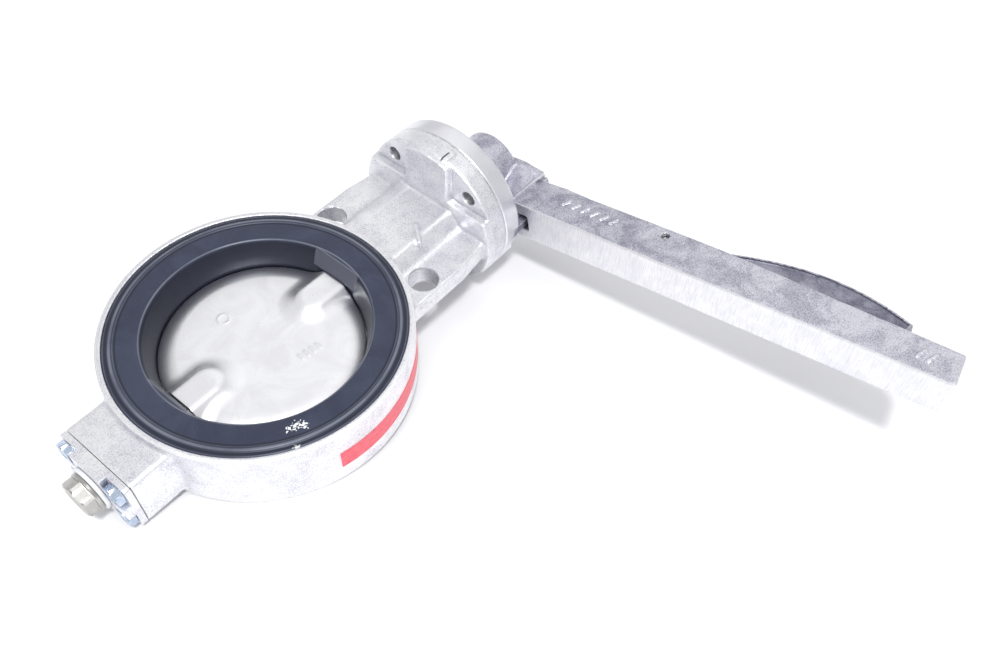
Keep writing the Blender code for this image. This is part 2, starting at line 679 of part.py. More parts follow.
def top_bevel():
    """The wedge taken off the arm's outboard top edge, fading out along the arm."""
    over = 20.0 * MM
    rise = 0.5 * MM
    ends = []
    for s, width, depth in ((ARM_ROOT_S - 4.0 * MM, CHAMFER_X, CHAMFER_N),
                            (CHAMFER_END_S, CHAMFER_X / 50.0, CHAMFER_N / 28.0)):
        slope = depth / width
        inner = ARM_MID_X - width - rise / slope
        outer = ARM_MID_X + over
        low = ARM_TOP_N - depth - over * slope
        ends.append([(s, inner, ARM_TOP_N + rise), (s, outer, low), (s, outer, ARM_TOP_N + MM)])
    return skin_between(*ends)


def hub_web():
    """The web between the lever's hub and the root of its arm."""
    outline = [(6.0 * MM, LEVER_HUB_X + 2.5 * MM), (ARM_ROOT_S + MM, ARM_X + 0.5 * MM),
               (ARM_ROOT_S + MM, HUB_WALL_X), (16.0 * MM, HUB_WALL_X - HUB_WALL_T),
               (6.0 * MM, HUB_WALL_X - HUB_WALL_T)]
    return prism(outline, MM - HUB_R, HUB_WEB_N)


def hub_wall():
    """The curved wall on the web's outboard side, seen along x."""
    low = 2.0 * MM - HUB_R
    points = [(low, 15.0), (HUB_WALL_N - MM, 15.0), (HUB_WALL_N, 20.0), (HUB_WALL_N - 0.2 * MM, 30.0),
              (HUB_WALL_N - 2.3 * MM, 39.5), (HUB_WALL_N - 4.8 * MM, 48.0), (low, 48.0)]
    outline = [(n, s * MM) for n, s in points]
    return prism(outline, HUB_WALL_X - HUB_WALL_T, HUB_WALL_X, ALONG_LEVER_X)


def make_lever(parent, finish):
    """Cast lever: a channel open towards the trigger, with a round hub."""
    lever = add("lever", sloped_prism(arm_outline(), 0.0, 0.0), parent, finish)
    to_stem = lever_frame_matrix().inverted() @ ALONG_X
    hub = [(0.0, LEVER_HUB_X), (HUB_R, LEVER_HUB_X), (HUB_R, LEVER_HUB_END_X - 2.0 * MM),
           (HUB_R - 2.0 * MM, LEVER_HUB_END_X), (0.0, LEVER_HUB_END_X)]
    join(lever, turned(hub, to_stem, 40))
    join(lever, hub_web())
    join(lever, hub_wall())
    low_x = ARM_X + ARM_WALL
    inner = [(ARM_ROOT_S + ARM_WALL, low_x), (ARM_TIP_S - 15.0 * MM, low_x),
             (ARM_TIP_S - 15.0 * MM, 270.0 * MM), (ARM_ROOT_S + ARM_WALL, 270.0 * MM)]
    cut(lever, sloped_prism(inner, -ARM_WALL, ARM_WALL))
    cut(lever, box(TOOTH_WINDOW, (ARM_X - 8.0 * MM, low_x + MM), (-21.5 * MM, -8.0 * MM)))
    cut(lever, top_bevel())
    half = STEM_SQUARE / 2.0 + GAP
    square = prism([(half, half), (-half, half), (-half, -half), (half, -half)],
                   LEVER_HUB_X - MM, LEVER_HUB_END_X + MM, to_stem)
    cut(lever, square)
    cut(lever, rod(PIN_R + GAP, -60.0 * MM, 20.0 * MM, None, 20, (PIN_S, PIN_X)))
    return lever


def make_lever_screw(parent, washer_finish, finish):
    """The screw and washer that hold the lever on the stem."""
    low = LEVER_HUB_END_X + GAP
    bm = washer(LEVER_SCREW_R + GAP, LEVER_WASHER_R, low, low + LEVER_WASHER_T, ALONG_X)
    add("lever_washer", bm, parent, washer_finish)
    seat = low + LEVER_WASHER_T + GAP
    make_bolt("lever_screw", parent, finish, (0.0, 0.0), seat, LEVER_SCREW_HEAD,
              LEVER_SCREW_FLATS, LEVER_SCREW_R, 24.0 * MM, -1)


def bezier(points, steps):
    """Points on a cubic Bezier curve, both ends included."""
    made = []
    for k in range(steps + 1):
        t = k / steps
        weights = ((1 - t) ** 3, 3 * t * (1 - t) ** 2, 3 * t ** 2 * (1 - t), t ** 3)
        made.append(tuple(sum(w * p[axis] for w, p in zip(weights, points)) for axis in (0, 1)))
    return made


def trigger_outline():
    """The trigger seen along n, in s and x from its pin: grip, eye and latch arm."""
    grip = [(s - PIN_S, x - PIN_X) for s, x in bezier(GRIP_CURVE, 16)]
    grip_end = grip[-1][0]
    eye = arc((0.0, 0.0), 7.5 * MM, 60.0, 120.0, 4)
    arm_end = LATCH_ARM_S - PIN_S
    arm_x = LATCH_ARM_X - PIN_X
    back = [(arm_end, arm_x + LATCH_ARM_T), (arm_end, arm_x), (-10.0 * MM, -7.5 * MM),
            (8.0 * MM, -8.0 * MM), (grip_end - 2.0 * MM, -3.0 * MM)]
    return grip[::-1] + eye + back


def make_trigger(parent, finish):
    """Squeeze trigger: a grip on one side of its pin and the latch tooth on the other."""
    trigger = add("trigger", prism(trigger_outline(), TRIGGER_LOW_N, TRIGGER_TOP_N), parent, finish)
    tooth = box((PLATE_X + PLATE_T - NOTCH_DEPTH + 2.0 * GAP, LATCH_ARM_X + 2.0 * MM),
                (TOOTH_R - TOOTH_LENGTH / 2.0, TOOTH_R + TOOTH_LENGTH / 2.0),
                (-TOOTH_WIDTH / 2.0, TOOTH_WIDTH / 2.0))
    tooth.transform(Matrix.Rotation(math.pi + TOOTH_ANGLE, 4, "X"))
    tooth.transform((lever_frame_matrix() @ Matrix.Translation((PIN_S, PIN_X, 0.0))).inverted())
    join(trigger, tooth)
    cut(trigger, rod(PIN_R + 0.1 * MM, -60.0 * MM, 20.0 * MM, None, 20))
    pocket = rod(SPRING_R + 1.8 * MM, SPRING_X - PIN_X, SPRING_END_X - PIN_X, ALONG_LEVER_X, 20)
    cut(trigger, at(pocket, SPRING_S - PIN_S, 0.0, SPRING_N))
    return trigger


def make_trigger_pin(parent, finish):
    low = arm_low(PIN_S) - 0.2 * MM
    high = ARM_TOP_N + 0.2 * MM
    return add("trigger_pin", rod(PIN_R, low, high, None, 20), parent, finish)


def make_trigger_spring(parent, finish):
    """A compression spring between the lever's inner face and the trigger's pocket."""
    bm = bmesh.new()
    start = ARM_X + ARM_WALL + SPRING_WIRE_R + GAP
    length = SPRING_END_X - SPRING_PLAY - SPRING_WIRE_R - start
    sides = 6
    count = SPRING_TURNS * 10
    rings = []
    for k in range(count + 1):
        turn = 2.0 * math.pi * SPRING_TURNS * k / count
        out = Vector((math.cos(turn), 0.0, math.sin(turn)))
        centre = Vector((SPRING_S, start + length * k / count, SPRING_N)) + SPRING_R * out
        ring = []
        for j in range(sides):
            angle = 2.0 * math.pi * j / sides
            offset = out * math.cos(angle) + Vector((0.0, math.sin(angle), 0.0))
            ring.append(bm.verts.new(centre + SPRING_WIRE_R * offset))
        rings.append(ring)
    for low, high in zip(rings, rings[1:]):
        for j in range(sides):
            follow = (j + 1) % sides
            bm.faces.new((low[j], low[follow], high[follow], high[j]))
    bm.faces.new(rings[0])
    bm.faces.new(rings[-1])
    return add("trigger_spring", bm, parent, finish)


def stand_on_origin(root):
    """Move the root so that the bottom centre of the whole box is the origin."""
    depsgraph = bpy.context.evaluated_depsgraph_get()
    corners = []
    for item in bpy.data.objects:
        if item.type == "MESH" and not item.hide_render:
            done = item.evaluated_get(depsgraph)
            corners += [done.matrix_world @ Vector(corner) for corner in done.bound_box]
    low = [min(corner[k] for corner in corners) for k in range(3)]
    high = [max(corner[k] for corner in corners) for k in range(3)]
    root.location = (-(low[0] + high[0]) / 2.0, -(low[1] + high[1]) / 2.0, -low[2])


def lever_frame_matrix():
    """Local x along the arm, y along the stem and z across the arm's broad edge."""
    cosine = math.cos(LEVER_SLOPE)
    sine = math.sin(LEVER_SLOPE)
    return Matrix(((0.0, 1.0, 0.0, 0.0), (-cosine, 0.0, sine, 0.0), (sine, 0.0, cosine, 0.0),
                   (0.0, 0.0, 0.0, 1.0)))


def main():
    clear_scene()
    cast = material("cast_aluminium", (0.72, 0.72, 0.75), 0.42, 1.0)
    lever_cast = material("lever_casting", (0.45, 0.46, 0.52), 0.45, 1.0)
    rubber = material("black_rubber", (0.03, 0.032, 0.05), 0.45, 0.0)
    steel = material("stainless_steel", (0.55, 0.53, 0.52), 0.28, 1.0)
    zinc = material("blue_zinc", (0.5, 0.62, 0.78), 0.22, 1.0)
    bronze = material("bush_bronze", (0.5, 0.36, 0.18), 0.4, 1.0)
    nylon = material("white_nylon", (0.86, 0.87, 0.88), 0.45, 0.0)
    tape = material("red_tape", (0.86, 0.07, 0.11), 0.4, 0.0)

    root = empty("valve_frame")
    make_body(root, cast)
    make_liner(root, rubber)
    make_tape(root, tape)
    make_bushes_and_seals(root, bronze, rubber)
    make_cover(root, cast, rubber)
    make_cover_bolts(root, zinc)
    make_cover_washer(root, nylon)
    make_notch_plate(root, cast)
    make_plate_screws(root, zinc)

    turning = empty("valve_turn_axis", root)
    make_disc(turning, cast)
    make_drive_shaft(turning, steel)
    make_stub_shaft(turning, steel)
    make_retaining_ring(turning, steel)
    make_lever_screw(turning, zinc, zinc)
    lever_frame = empty("lever_frame", turning, lever_frame_matrix())
    make_lever(lever_frame, lever_cast)
    make_trigger_spring(lever_frame, steel)
    pivot = empty("trigger_axis", lever_frame, Matrix.Translation((PIN_S, PIN_X, 0.0)))
    make_trigger_pin(pivot, steel)
    make_trigger(pivot, lever_cast)
    bpy.context.view_layer.update()
    stand_on_origin(root)


main()
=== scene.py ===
"""Looks for the wafer butterfly valve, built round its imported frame.

Shapes are worked out in millimetres about the valve's own origin, where the
stem axis crosses the bore: x runs along the stem towards the lever, z along
the bore. Cast and machined pieces are the zero surfaces of distance fields.
Turned pieces are profiles carried round an axis.
"""
import json
import math

import bpy
import numpy as np
from mathutils import Matrix, Vector

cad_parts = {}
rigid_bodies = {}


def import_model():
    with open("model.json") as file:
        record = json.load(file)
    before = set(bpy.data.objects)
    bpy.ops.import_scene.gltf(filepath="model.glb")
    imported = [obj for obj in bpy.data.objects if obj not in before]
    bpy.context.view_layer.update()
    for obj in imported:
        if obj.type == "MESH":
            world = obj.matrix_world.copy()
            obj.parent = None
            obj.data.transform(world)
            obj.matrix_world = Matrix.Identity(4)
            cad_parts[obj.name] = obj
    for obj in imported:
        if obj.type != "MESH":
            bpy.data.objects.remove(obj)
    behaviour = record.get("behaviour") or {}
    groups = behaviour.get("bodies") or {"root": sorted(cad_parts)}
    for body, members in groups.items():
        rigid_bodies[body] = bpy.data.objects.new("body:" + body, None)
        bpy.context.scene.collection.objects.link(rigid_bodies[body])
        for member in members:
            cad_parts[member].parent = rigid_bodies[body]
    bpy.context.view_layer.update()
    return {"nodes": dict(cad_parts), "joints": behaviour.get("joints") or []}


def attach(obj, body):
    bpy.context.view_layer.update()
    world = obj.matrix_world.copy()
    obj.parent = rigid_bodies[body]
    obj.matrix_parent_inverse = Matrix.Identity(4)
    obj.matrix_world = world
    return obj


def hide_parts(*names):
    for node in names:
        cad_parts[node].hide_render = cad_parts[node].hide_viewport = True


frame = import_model()
STEM_JOINT = next(joint for joint in frame["joints"] if joint["name"] == "valve_turn")
ORIGIN = np.array(STEM_JOINT["pos_m"])
MM = 0.001

# Lever frame: s along the arm, n across its broad edge, tilted about the stem
LEVER_SLOPE = math.radians(11.5)
COS_L, SIN_L = math.cos(LEVER_SLOPE), math.sin(LEVER_SLOPE)
LEVER_TO_VALVE = np.array(((0.0, 1.0, 0.0), (-COS_L, 0.0, SIN_L), (SIN_L, 0.0, COS_L)))

# The floor's normal about the valve, which lies on its flange and its ring
FLOOR_NORMAL = Vector((0.11, 0.138, 0.984)).normalized()


# ---------------------------------------------------------------- fields

def meet(a, b, r=0.0):
    """Both of two fields, the edge between them rounded to radius r."""
    outside = np.hypot(np.maximum(r + a, 0.0), np.maximum(r + b, 0.0))
    return np.minimum(-r, np.maximum(a, b)) + outside


def merge(a, b, r=0.0):
    """Either of two fields, the corner between them filled to radius r."""
    return -meet(-a, -b, r)


def less(a, b, r=0.0):
    """The first field with the second taken away, the new edge rounded to radius r."""
    return meet(a, -b, r)


def slab(v, low, high):
    """Distance to the layer between two heights."""
    return np.maximum(low - v, v - high)


def drum(u, v, radius, centre=(0.0, 0.0)):
    """Distance to a round bar: length of (u, v) from its centre, less its radius."""
    return np.hypot(u - centre[0], v - centre[1]) - radius


def plate(u, v, half_u, half_v, r):
    """Distance to a bar with a round-cornered rectangular section."""
    return meet(np.abs(u) - half_u, np.abs(v) - half_v, r)


def polygon(u, v, points):
    """Distance to the nearest edge of a polygon, negative where a ray crosses an odd number of edges."""
    points = np.asarray(points, float)
    nearest = np.full(np.shape(u), 1e9)
    inside = np.zeros(np.shape(u), bool)
    for (u0, v0), (u1, v1) in zip(points, np.roll(points, -1, axis=0)):
        du, dv = u1 - u0, v1 - v0
        t = np.clip(((u - u0) * du + (v - v0) * dv) / (du * du + dv * dv), 0.0, 1.0)
        nearest = np.minimum(nearest, (u - u0 - t * du) ** 2 + (v - v0 - t * dv) ** 2)
        if v0 != v1:
            crossing = ((v0 <= v) != (v1 <= v)) & (u < u0 + (v - v0) * du / dv)
            inside ^= crossing
    return np.where(inside, -1.0, 1.0) * np.sqrt(nearest)


def capsule(u, v, start, end, radius):
    """Distance to a line thickened to a radius."""
    du, dv = end[0] - start[0], end[1] - start[1]
    t = np.clip(((u - start[0]) * du + (v - start[1]) * dv) / (du * du + dv * dv), 0.0, 1.0)
    return np.hypot(u - start[0] - t * du, v - start[1] - t * dv) - radius


def smooth_step(v, low, high):
    """Rise from 0 at low to 1 at high along the cubic 3 t squared less 2 t cubed."""
    t = np.clip((v - low) / (high - low), 0.0, 1.0)
    return t * t * (3.0 - 2.0 * t)


# ---------------------------------------------------------------- meshes

def new_piece(name, points, faces, material, sharp=40.0, to_valve=None):
    """A mesh object from points in millimetres and quads, stored in the frame's metres."""
    points = np.asarray(points, float)
    if to_valve is not None:
        points = points @ to_valve.T
    points = points * MM + ORIGIN
    faces = np.asarray(faces, np.int32)
    mesh = bpy.data.meshes.new(name)
    mesh.vertices.add(len(points))
    mesh.vertices.foreach_set("co", points.astype(np.float32).ravel())
    mesh.loops.add(faces.size)
    mesh.loops.foreach_set("vertex_index", faces.ravel())
    mesh.polygons.add(len(faces))
    mesh.polygons.foreach_set("loop_start", np.arange(0, faces.size, faces.shape[1], dtype=np.int32))
    mesh.update(calc_edges=True)
    mesh.validate()
    mesh.shade_smooth()
    mesh.set_sharp_from_angle(angle=math.radians(sharp))
    piece = bpy.data.objects.new(name, mesh)
    bpy.context.collection.objects.link(piece)
    mesh.materials.append(material)
    return piece


def place(piece, body, slot, *nodes):
    """Ride a piece on its body and let it stand for its nodes."""
    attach(piece, body)
    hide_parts(*nodes)
    return piece


SLICES = 24             # grid layers whose field is worked out together


def level_skin(field, low, high, step):
    """The zero surface of a field as points and quads.

    Each grid cell that the surface crosses gets one point, the mean of the
    crossings on its edges. Each grid edge that the surface crosses gets the
    quad of its four cells. The points then slide along the field's gradient
    until the field is zero there.
    """
    low = np.asarray(low, float) - 1.5 * step
    high = np.asarray(high, float) + 1.5 * step
    axes = [np.arange(low[k], high[k] + step, step) for k in range(3)]
    values = np.empty([len(axis) for axis in axes], np.float32)
    for start in range(0, len(axes[0]), SLICES):
        block = np.meshgrid(axes[0][start:start + SLICES], axes[1], axes[2], indexing="ij")
        values[start:start + SLICES] = field(*block)
    inside = values < 0.0
    count = np.zeros([n - 1 for n in values.shape], np.int8)
    corners = [(i, j, k) for i in (0, 1) for j in (0, 1) for k in (0, 1)]
    for i, j, k in corners:
        count += inside[i:i + count.shape[0], j:j + count.shape[1], k:k + count.shape[2]]
    active = (count > 0) & (count < 8)
    cells = np.argwhere(active)
    number = np.full(count.shape, -1, np.int32)
    number[active] = np.arange(len(cells))
    at_corner = {c: values[tuple((cells + c).T)] for c in corners}
    total = np.zeros((len(cells), 3))
    hits = np.zeros(len(cells))
    for a in corners:
        for axis in range(3):
            if a[axis]:
                continue
            b = tuple(1 if k == axis else a[k] for k in range(3))
            va, vb = at_corner[a], at_corner[b]
            crossed = (va < 0.0) != (vb < 0.0)
            share = np.where(crossed, va / np.where(crossed, va - vb, 1.0), 0.0)
            spot = np.tile(np.array(a, float), (len(cells), 1))
            spot[:, axis] += share
            total += spot * crossed[:, None]
            hits += crossed
    points = low + step * (cells + total / hits[:, None])
    quads = []
    for axis in range(3):
        u, w = (axis + 1) % 3, (axis + 2) % 3
        lower = [slice(1, -1)] * 3
        lower[axis] = slice(0, -1)
        upper = list(lower)
        upper[axis] = slice(1, None)
        first = inside[tuple(lower)]
        crossed = first != inside[tuple(upper)]
        nodes = np.argwhere(crossed) + np.array([0 if k == axis else 1 for k in range(3)])
        flip = ~first[crossed]
        ring = []
        for du, dw in ((-1, -1), (0, -1), (0, 0), (-1, 0)):
            cell = nodes.copy()
            cell[:, u] += du
            cell[:, w] += dw
            ring.append(number[tuple(cell.T)])
        quad = np.stack(ring, axis=1)
        quad[flip] = quad[flip][:, ::-1]
        quads.append(quad)
    return slide_home(field, points, step), np.concatenate(quads)


def slide_home(field, points, step):
    """Move points down the field's gradient to its zero.

    Each pass takes away the field times the gradient over its square, with
    the move held to a share of the grid's step.
    """
    reach = 0.04
    for _ in range(4):
        here = field(*points.T)
        slope = np.stack([field(*(points + reach * way).T) - field(*(points - reach * way).T)
                          for way in np.eye(3)], axis=1) / (2.0 * reach)
        size = np.maximum((slope ** 2).sum(1), 0.2)
        move = -here[:, None] * slope / size[:, None]
        length = np.sqrt((move ** 2).sum(1))
        move *= np.minimum(1.0, 0.4 * step / np.maximum(length, 1e-9))[:, None]
        points = points + move
    return points


def grid_quads(rows, steps, close_rows=False):
    """Quads of a grid of points, joined end to end along its steps and, where asked, its rows."""
    k, j = np.meshgrid(np.arange(rows if close_rows else rows - 1), np.arange(steps), indexing="ij")
    k2, j2 = (k + 1) % rows, (j + 1) % steps
    corners = (k * steps + j, k * steps + j2, k2 * steps + j2, k2 * steps + j)
    return np.stack(corners, axis=2).reshape(-1, 4)


def polar_points(radius, height, angle):
    """Rows of points about an axis: (radius cos a, radius sin a, height)."""
    return np.stack([radius * np.cos(angle), radius * np.sin(angle), height * np.ones(len(angle))], axis=2)


def carried_round(rows, steps=96, shape=None):
    """A closed skin of (radius, height) rows carried round an axis.

    Point (k, j) sits at angle 2 pi j / steps, at the row's radius times the
    shape's value for that row and angle. The first and last rows lie on the
    axis and close the skin.
    """
    angle = 2.0 * np.pi * np.arange(steps) / steps
    rows = np.array(rows, float)
    radius = rows[:, :1] * np.ones(steps)
    if shape is not None:
        radius = shape(radius, np.arange(len(rows))[:, None], angle[None, :])
    body = polar_points(radius, rows[:, 1:], angle)[1:-1].reshape(-1, 3)
    ends = np.array([[0.0, 0.0, rows[0, 1]], [0.0, 0.0, rows[-1, 1]]])
    first = np.arange(0, steps, 2)
    second, third = (first + 1) % steps, (first + 2) % steps
    low_end = np.full(len(first), len(body))
    top = len(body) - steps
    low_cap = np.stack([low_end, third, second, first], axis=1)
    high_cap = np.stack([low_end + 1, top + first, top + second, top + third], axis=1)
    quads = grid_quads(len(rows) - 2, steps)
    return np.concatenate([body, ends]), np.concatenate([quads, low_cap, high_cap])


def ring_round(loop, steps=96):
    """A closed (radius, height) loop carried round an axis, as a ring."""
    loop = np.asarray(loop, float)
    angle = 2.0 * np.pi * np.arange(steps) / steps
    points = polar_points(loop[:, :1], loop[:, 1:], angle).reshape(-1, 3)
    return points, grid_quads(len(loop), steps, close_rows=True)


# Turns a piece built about local z so that it lies along x
ALONG_X = np.array(((0.0, 0.0, 1.0), (1.0, 0.0, 0.0), (0.0, 1.0, 0.0)))


def rounded(points, radius, steps=3):
    """An open profile with each inner corner replaced by an arc of a radius or less."""
    points = [np.array(p, float) for p in points]
    made = [points[0]]
    for before, here, after in zip(points, points[1:], points[2:]):
        back, on = before - here, after - here
        back_length, on_length = np.linalg.norm(back), np.linalg.norm(on)
        cut = min(radius, 0.45 * back_length, 0.45 * on_length)
        start, end = here + back / back_length * cut, here + on / on_length * cut
        for t in np.linspace(0.0, 1.0, steps + 1):
            made.append((1 - t) ** 2 * start + 2 * t * (1 - t) * here + t ** 2 * end)
    made.append(points[-1])
    return made


# ---------------------------------------------------------------- shader tools

def feed(tree, socket, value):
    """Link a socket to another, or set its value."""
    if isinstance(value, bpy.types.NodeSocket):
        tree.links.new(value, socket)
    else:
        socket.default_value = value


def shade(tree, kind, values=None, **settings):
    """Add a node, set its properties and its sockets."""
    node = tree.nodes.new(kind)
    for key, value in settings.items():
        setattr(node, key, value)
    for key, value in (values or {}).items():
        feed(tree, node.inputs[key], value)
    return node


def new_group(name, inputs, outputs):
    """A node group with named sockets, given as {name: (type, default)}."""
    tree = bpy.data.node_groups.new(name, "ShaderNodeTree")
    for label, (kind, value) in inputs.items():
        socket = tree.interface.new_socket(label, in_out="INPUT", socket_type=kind)
        if value is not None:
            socket.default_value = value
    for label, kind in outputs.items():
        tree.interface.new_socket(label, in_out="OUTPUT", socket_type=kind)
    return tree, tree.nodes.new("NodeGroupInput"), tree.nodes.new("NodeGroupOutput")


def maths(tree, operation, *values, clamp=False):
    """One Math node on one or two values."""
    node = shade(tree, "ShaderNodeMath", dict(enumerate(values)), operation=operation, use_clamp=clamp)
    return node.outputs[0]


def times(tree, a, b):
    """The product of two values."""
    return maths(tree, "MULTIPLY", a, b)


def vector_maths(tree, operation, *values):
    """One Vector Math node, with its sockets by number."""
    return shade(tree, "ShaderNodeVectorMath", dict(enumerate(values)), operation=operation).outputs


def noise(tree, where, scale, detail, **more):
    """A noise texture's value at a place."""
    values = {"Vector": where, "Scale": scale, "Detail": detail, **more}
    return shade(tree, "ShaderNodeTexNoise", values).outputs["Fac"]


def split_axes(tree, where):
    """The X, Y and Z of a place."""
    return shade(tree, "ShaderNodeSeparateXYZ", {"Vector": where}).outputs


def mixed(tree, factor, a, b):
    """Blend two colours by a factor."""
    node = shade(tree, "ShaderNodeMix", data_type="RGBA")
    factor_in = next(s for s in node.inputs if s.name == "Factor" and s.type == "VALUE")
    feed(tree, factor_in, factor)
    colours_in = [s for s in node.inputs if s.type == "RGBA"]
    for socket, value in zip(colours_in, (a, b)):
        feed(tree, socket, value if isinstance(value, bpy.types.NodeSocket) else (*value, 1.0))
    return next(s for s in node.outputs if s.type == "RGBA")


def spread(tree, value, low, high, out_low=0.0, out_high=1.0):
    """Map a value's range onto another, smoothly and within limits."""
    values = {"Value": value, "From Min": low, "From Max": high, "To Min": out_low, "To Max": out_high}
    node = shade(tree, "ShaderNodeMapRange", values, interpolation_type="SMOOTHSTEP")
    return node.outputs["Result"]


FLOAT, VECTOR = "NodeSocketFloat", "NodeSocketVector"


def casting_group():
    """Fine sand grain of a die casting: a dark speckle mask and its height."""
    tree, given, result = new_group("cast_grain", {"Vector": (VECTOR, None), "Scale": (FLOAT, 900.0),
                                                   "Cover": (FLOAT, 0.5)},
                                    {"Speckle": FLOAT, "Height": FLOAT})
    where, scale = given.outputs["Vector"], given.outputs["Scale"]
    fine = noise(tree, where, scale, 3.0, Roughness=0.65)
    patch = noise(tree, where, times(tree, scale, 0.06), 3.0, Roughness=0.6)
    lean = times(tree, maths(tree, "SUBTRACT", patch, 0.5), 0.3)
    value = maths(tree, "ADD", fine, lean)
    edge = maths(tree, "SUBTRACT", 1.0, given.outputs["Cover"])
    speckle = spread(tree, value, edge, maths(tree, "ADD", edge, 0.16))
    tree.links.new(speckle, result.inputs["Speckle"])
    tree.links.new(value, result.inputs["Height"])
    return tree


def mottle_group():
    """Broad cloudy stains and flow marks."""
    tree, given, result = new_group("flow_mottle", {"Vector": (VECTOR, None), "Scale": (FLOAT, 30.0)},
                                    {"Mask": FLOAT})
    where, scale = given.outputs["Vector"], given.outputs["Scale"]
    cloud = noise(tree, where, scale, 6.0, Roughness=0.62, Distortion=1.2)
    tree.links.new(spread(tree, cloud, 0.34, 0.68), result.inputs["Mask"])
    return tree


def brush_group():
    """Straight grinding or turning marks: noise drawn out along one axis."""
    tree, given, result = new_group("brush_marks", {"Vector": (VECTOR, None),
                                                    "Stretch": (VECTOR, (1.0, 1.0, 1.0)),
                                                    "Scale": (FLOAT, 600.0)},
                                    {"Mask": FLOAT, "Height": FLOAT})
    pulled = vector_maths(tree, "MULTIPLY", given.outputs["Vector"], given.outputs["Stretch"])[0]
    lines = noise(tree, pulled, given.outputs["Scale"], 4.0, Roughness=0.7)
    tree.links.new(spread(tree, lines, 0.38, 0.66), result.inputs["Mask"])
    tree.links.new(lines, result.inputs["Height"])
    return tree


def edge_and_corner_group():
    """Convex edges, used for worn edges on metal and for painted highlights on rubber, and concave corners,
    used for painted shade, read from how sharply the surface turns.
    """
    tree, given, result = new_group("edge_wear_sheen_corner_shade", {"Vector": (VECTOR, None), "Break": (FLOAT, 0.06)},
                                    {"Edge": FLOAT, "Corner Shade": FLOAT})
    turn = tree.nodes.new("ShaderNodeNewGeometry").outputs["Pointiness"]
    ragged = noise(tree, given.outputs["Vector"], 350.0, 3.0)
    shift = times(tree, maths(tree, "SUBTRACT", ragged, 0.5), given.outputs["Break"])
    turned = maths(tree, "ADD", turn, shift)
    tree.links.new(spread(tree, turned, 0.515, 0.58), result.inputs["Edge"])
    # Concave corners: the mask for painted shade
    tree.links.new(spread(tree, turned, 0.49, 0.43), result.inputs["Corner Shade"])
    return tree


def from_origin(tree, where):
    """A place measured from the valve's origin."""
    return vector_maths(tree, "SUBTRACT", where, tuple(ORIGIN))[0]


def pad_reflection_group():
    """The seat's sloping pad above and below each stem hole, as a mask for a painted reflection."""
    tree, given, result = new_group("pad_painted_reflection", {"Vector": (VECTOR, None)}, {"Mask": FLOAT})
    away = vector_maths(tree, "ABSOLUTE", from_origin(tree, given.outputs["Vector"]))[0]
    axes = split_axes(tree, away)
    mask = spread(tree, axes["Y"], 0.0206, 0.0200)
    for axis, low, high in (("Z", 0.0116, 0.0121), ("X", 0.0745, 0.0735), ("X", 0.060, 0.062)):
        mask = times(tree, mask, spread(tree, axes[axis], low, high))
    tree.links.new(mask, result.inputs["Mask"])
    return tree


def sheen_group():
    """Painted highlight lines on the seat's mouth edge, bead and lip, and painted shade in the grooves
    beside the bead and on the throat's wall.
    """
    tree, given, result = new_group("bead_sheen", {"Vector": (VECTOR, None)},
                                    {"Light": FLOAT, "Dark": FLOAT})
    where = given.outputs["Vector"]
    flat = vector_maths(tree, "MULTIPLY", from_origin(tree, where), (1.0, 1.0, 0.0))[0]
    radius = vector_maths(tree, "LENGTH", flat)["Value"]
    fade = spread(tree, noise(tree, where, 30.0, 4.0), 0.3, 0.6, 0.4, 1.0)

    def band(middle, half):
        """A soft line at a radius, in millimetres."""
        away = maths(tree, "ABSOLUTE", maths(tree, "SUBTRACT", radius, middle * MM))
        return spread(tree, away, half * MM, half * 0.3 * MM)

    light = maths(tree, "MAXIMUM", band(76.3, 0.7), band(94.2, 1.3))
    faint = times(tree, maths(tree, "MAXIMUM", band(92.0, 0.5), band(98.5, 0.6)), 0.4)
    light = maths(tree, "MAXIMUM", light, faint)
    tree.links.new(times(tree, light, fade), result.inputs["Light"])
    groove = maths(tree, "MAXIMUM", band(96.8, 1.5), band(91.0, 1.1))
    wall = spread(tree, radius, 75.8 * MM, 74.8 * MM)
    tree.links.new(maths(tree, "MAXIMUM", groove, wall), result.inputs["Dark"])
    return tree


def slot_shade_group():
    """A short dark line painted on the flange's rim: painted shade standing for a slot."""
    tree, given, result = new_group("slot_painted_shade", {"Vector": (VECTOR, None)}, {"Mask": FLOAT})
    axes = split_axes(tree, given.outputs["Vector"])
    across = maths(tree, "ABSOLUTE", maths(tree, "SUBTRACT", axes["Y"], float(ORIGIN[1]) - 0.012))
    along = maths(tree, "ABSOLUTE", maths(tree, "SUBTRACT", axes["X"], float(ORIGIN[0]) + 0.1735))
    mask = times(tree, spread(tree, across, 0.0009, 0.0004), spread(tree, along, 0.0055, 0.004))
    high = spread(tree, axes["Z"], float(ORIGIN[2]) + 0.056, float(ORIGIN[2]) + 0.057)
    tree.links.new(times(tree, mask, high), result.inputs["Mask"])
    return tree


GRAIN = casting_group()
SLOT_SHADE = slot_shade_group()
PAD_REFLECTION = pad_reflection_group()
SHEEN = sheen_group()
MOTTLE = mottle_group()
BRUSH = brush_group()
EDGES_AND_CORNERS = edge_and_corner_group()


def finish_base(name, metallic, roughness):
    """A Principled material and its object coordinates."""
    made = bpy.data.materials.new(name)
    made.use_nodes = True
    tree = made.node_tree
    shader = tree.nodes["Principled BSDF"]
    shader.inputs["Metallic"].default_value = metallic
    shader.inputs["Roughness"].default_value = roughness
    place_at = tree.nodes.new("ShaderNodeTexCoord").outputs["Object"]
    return made, tree, shader, place_at


def use_group(tree, group, **values):
    """Place a node group with its values and give its outputs."""
    node = shade(tree, "ShaderNodeGroup", node_tree=group)
    for key, value in values.items():
        feed(tree, node.inputs[key], value)
    return node.outputs


def bump(tree, shader, height, strength, distance):
    """Raise the shader's surface by a height mask."""
    node = shade(tree, "ShaderNodeBump", {"Strength": strength, "Distance": distance, "Height": height})
    tree.links.new(node.outputs["Normal"], shader.inputs["Normal"])


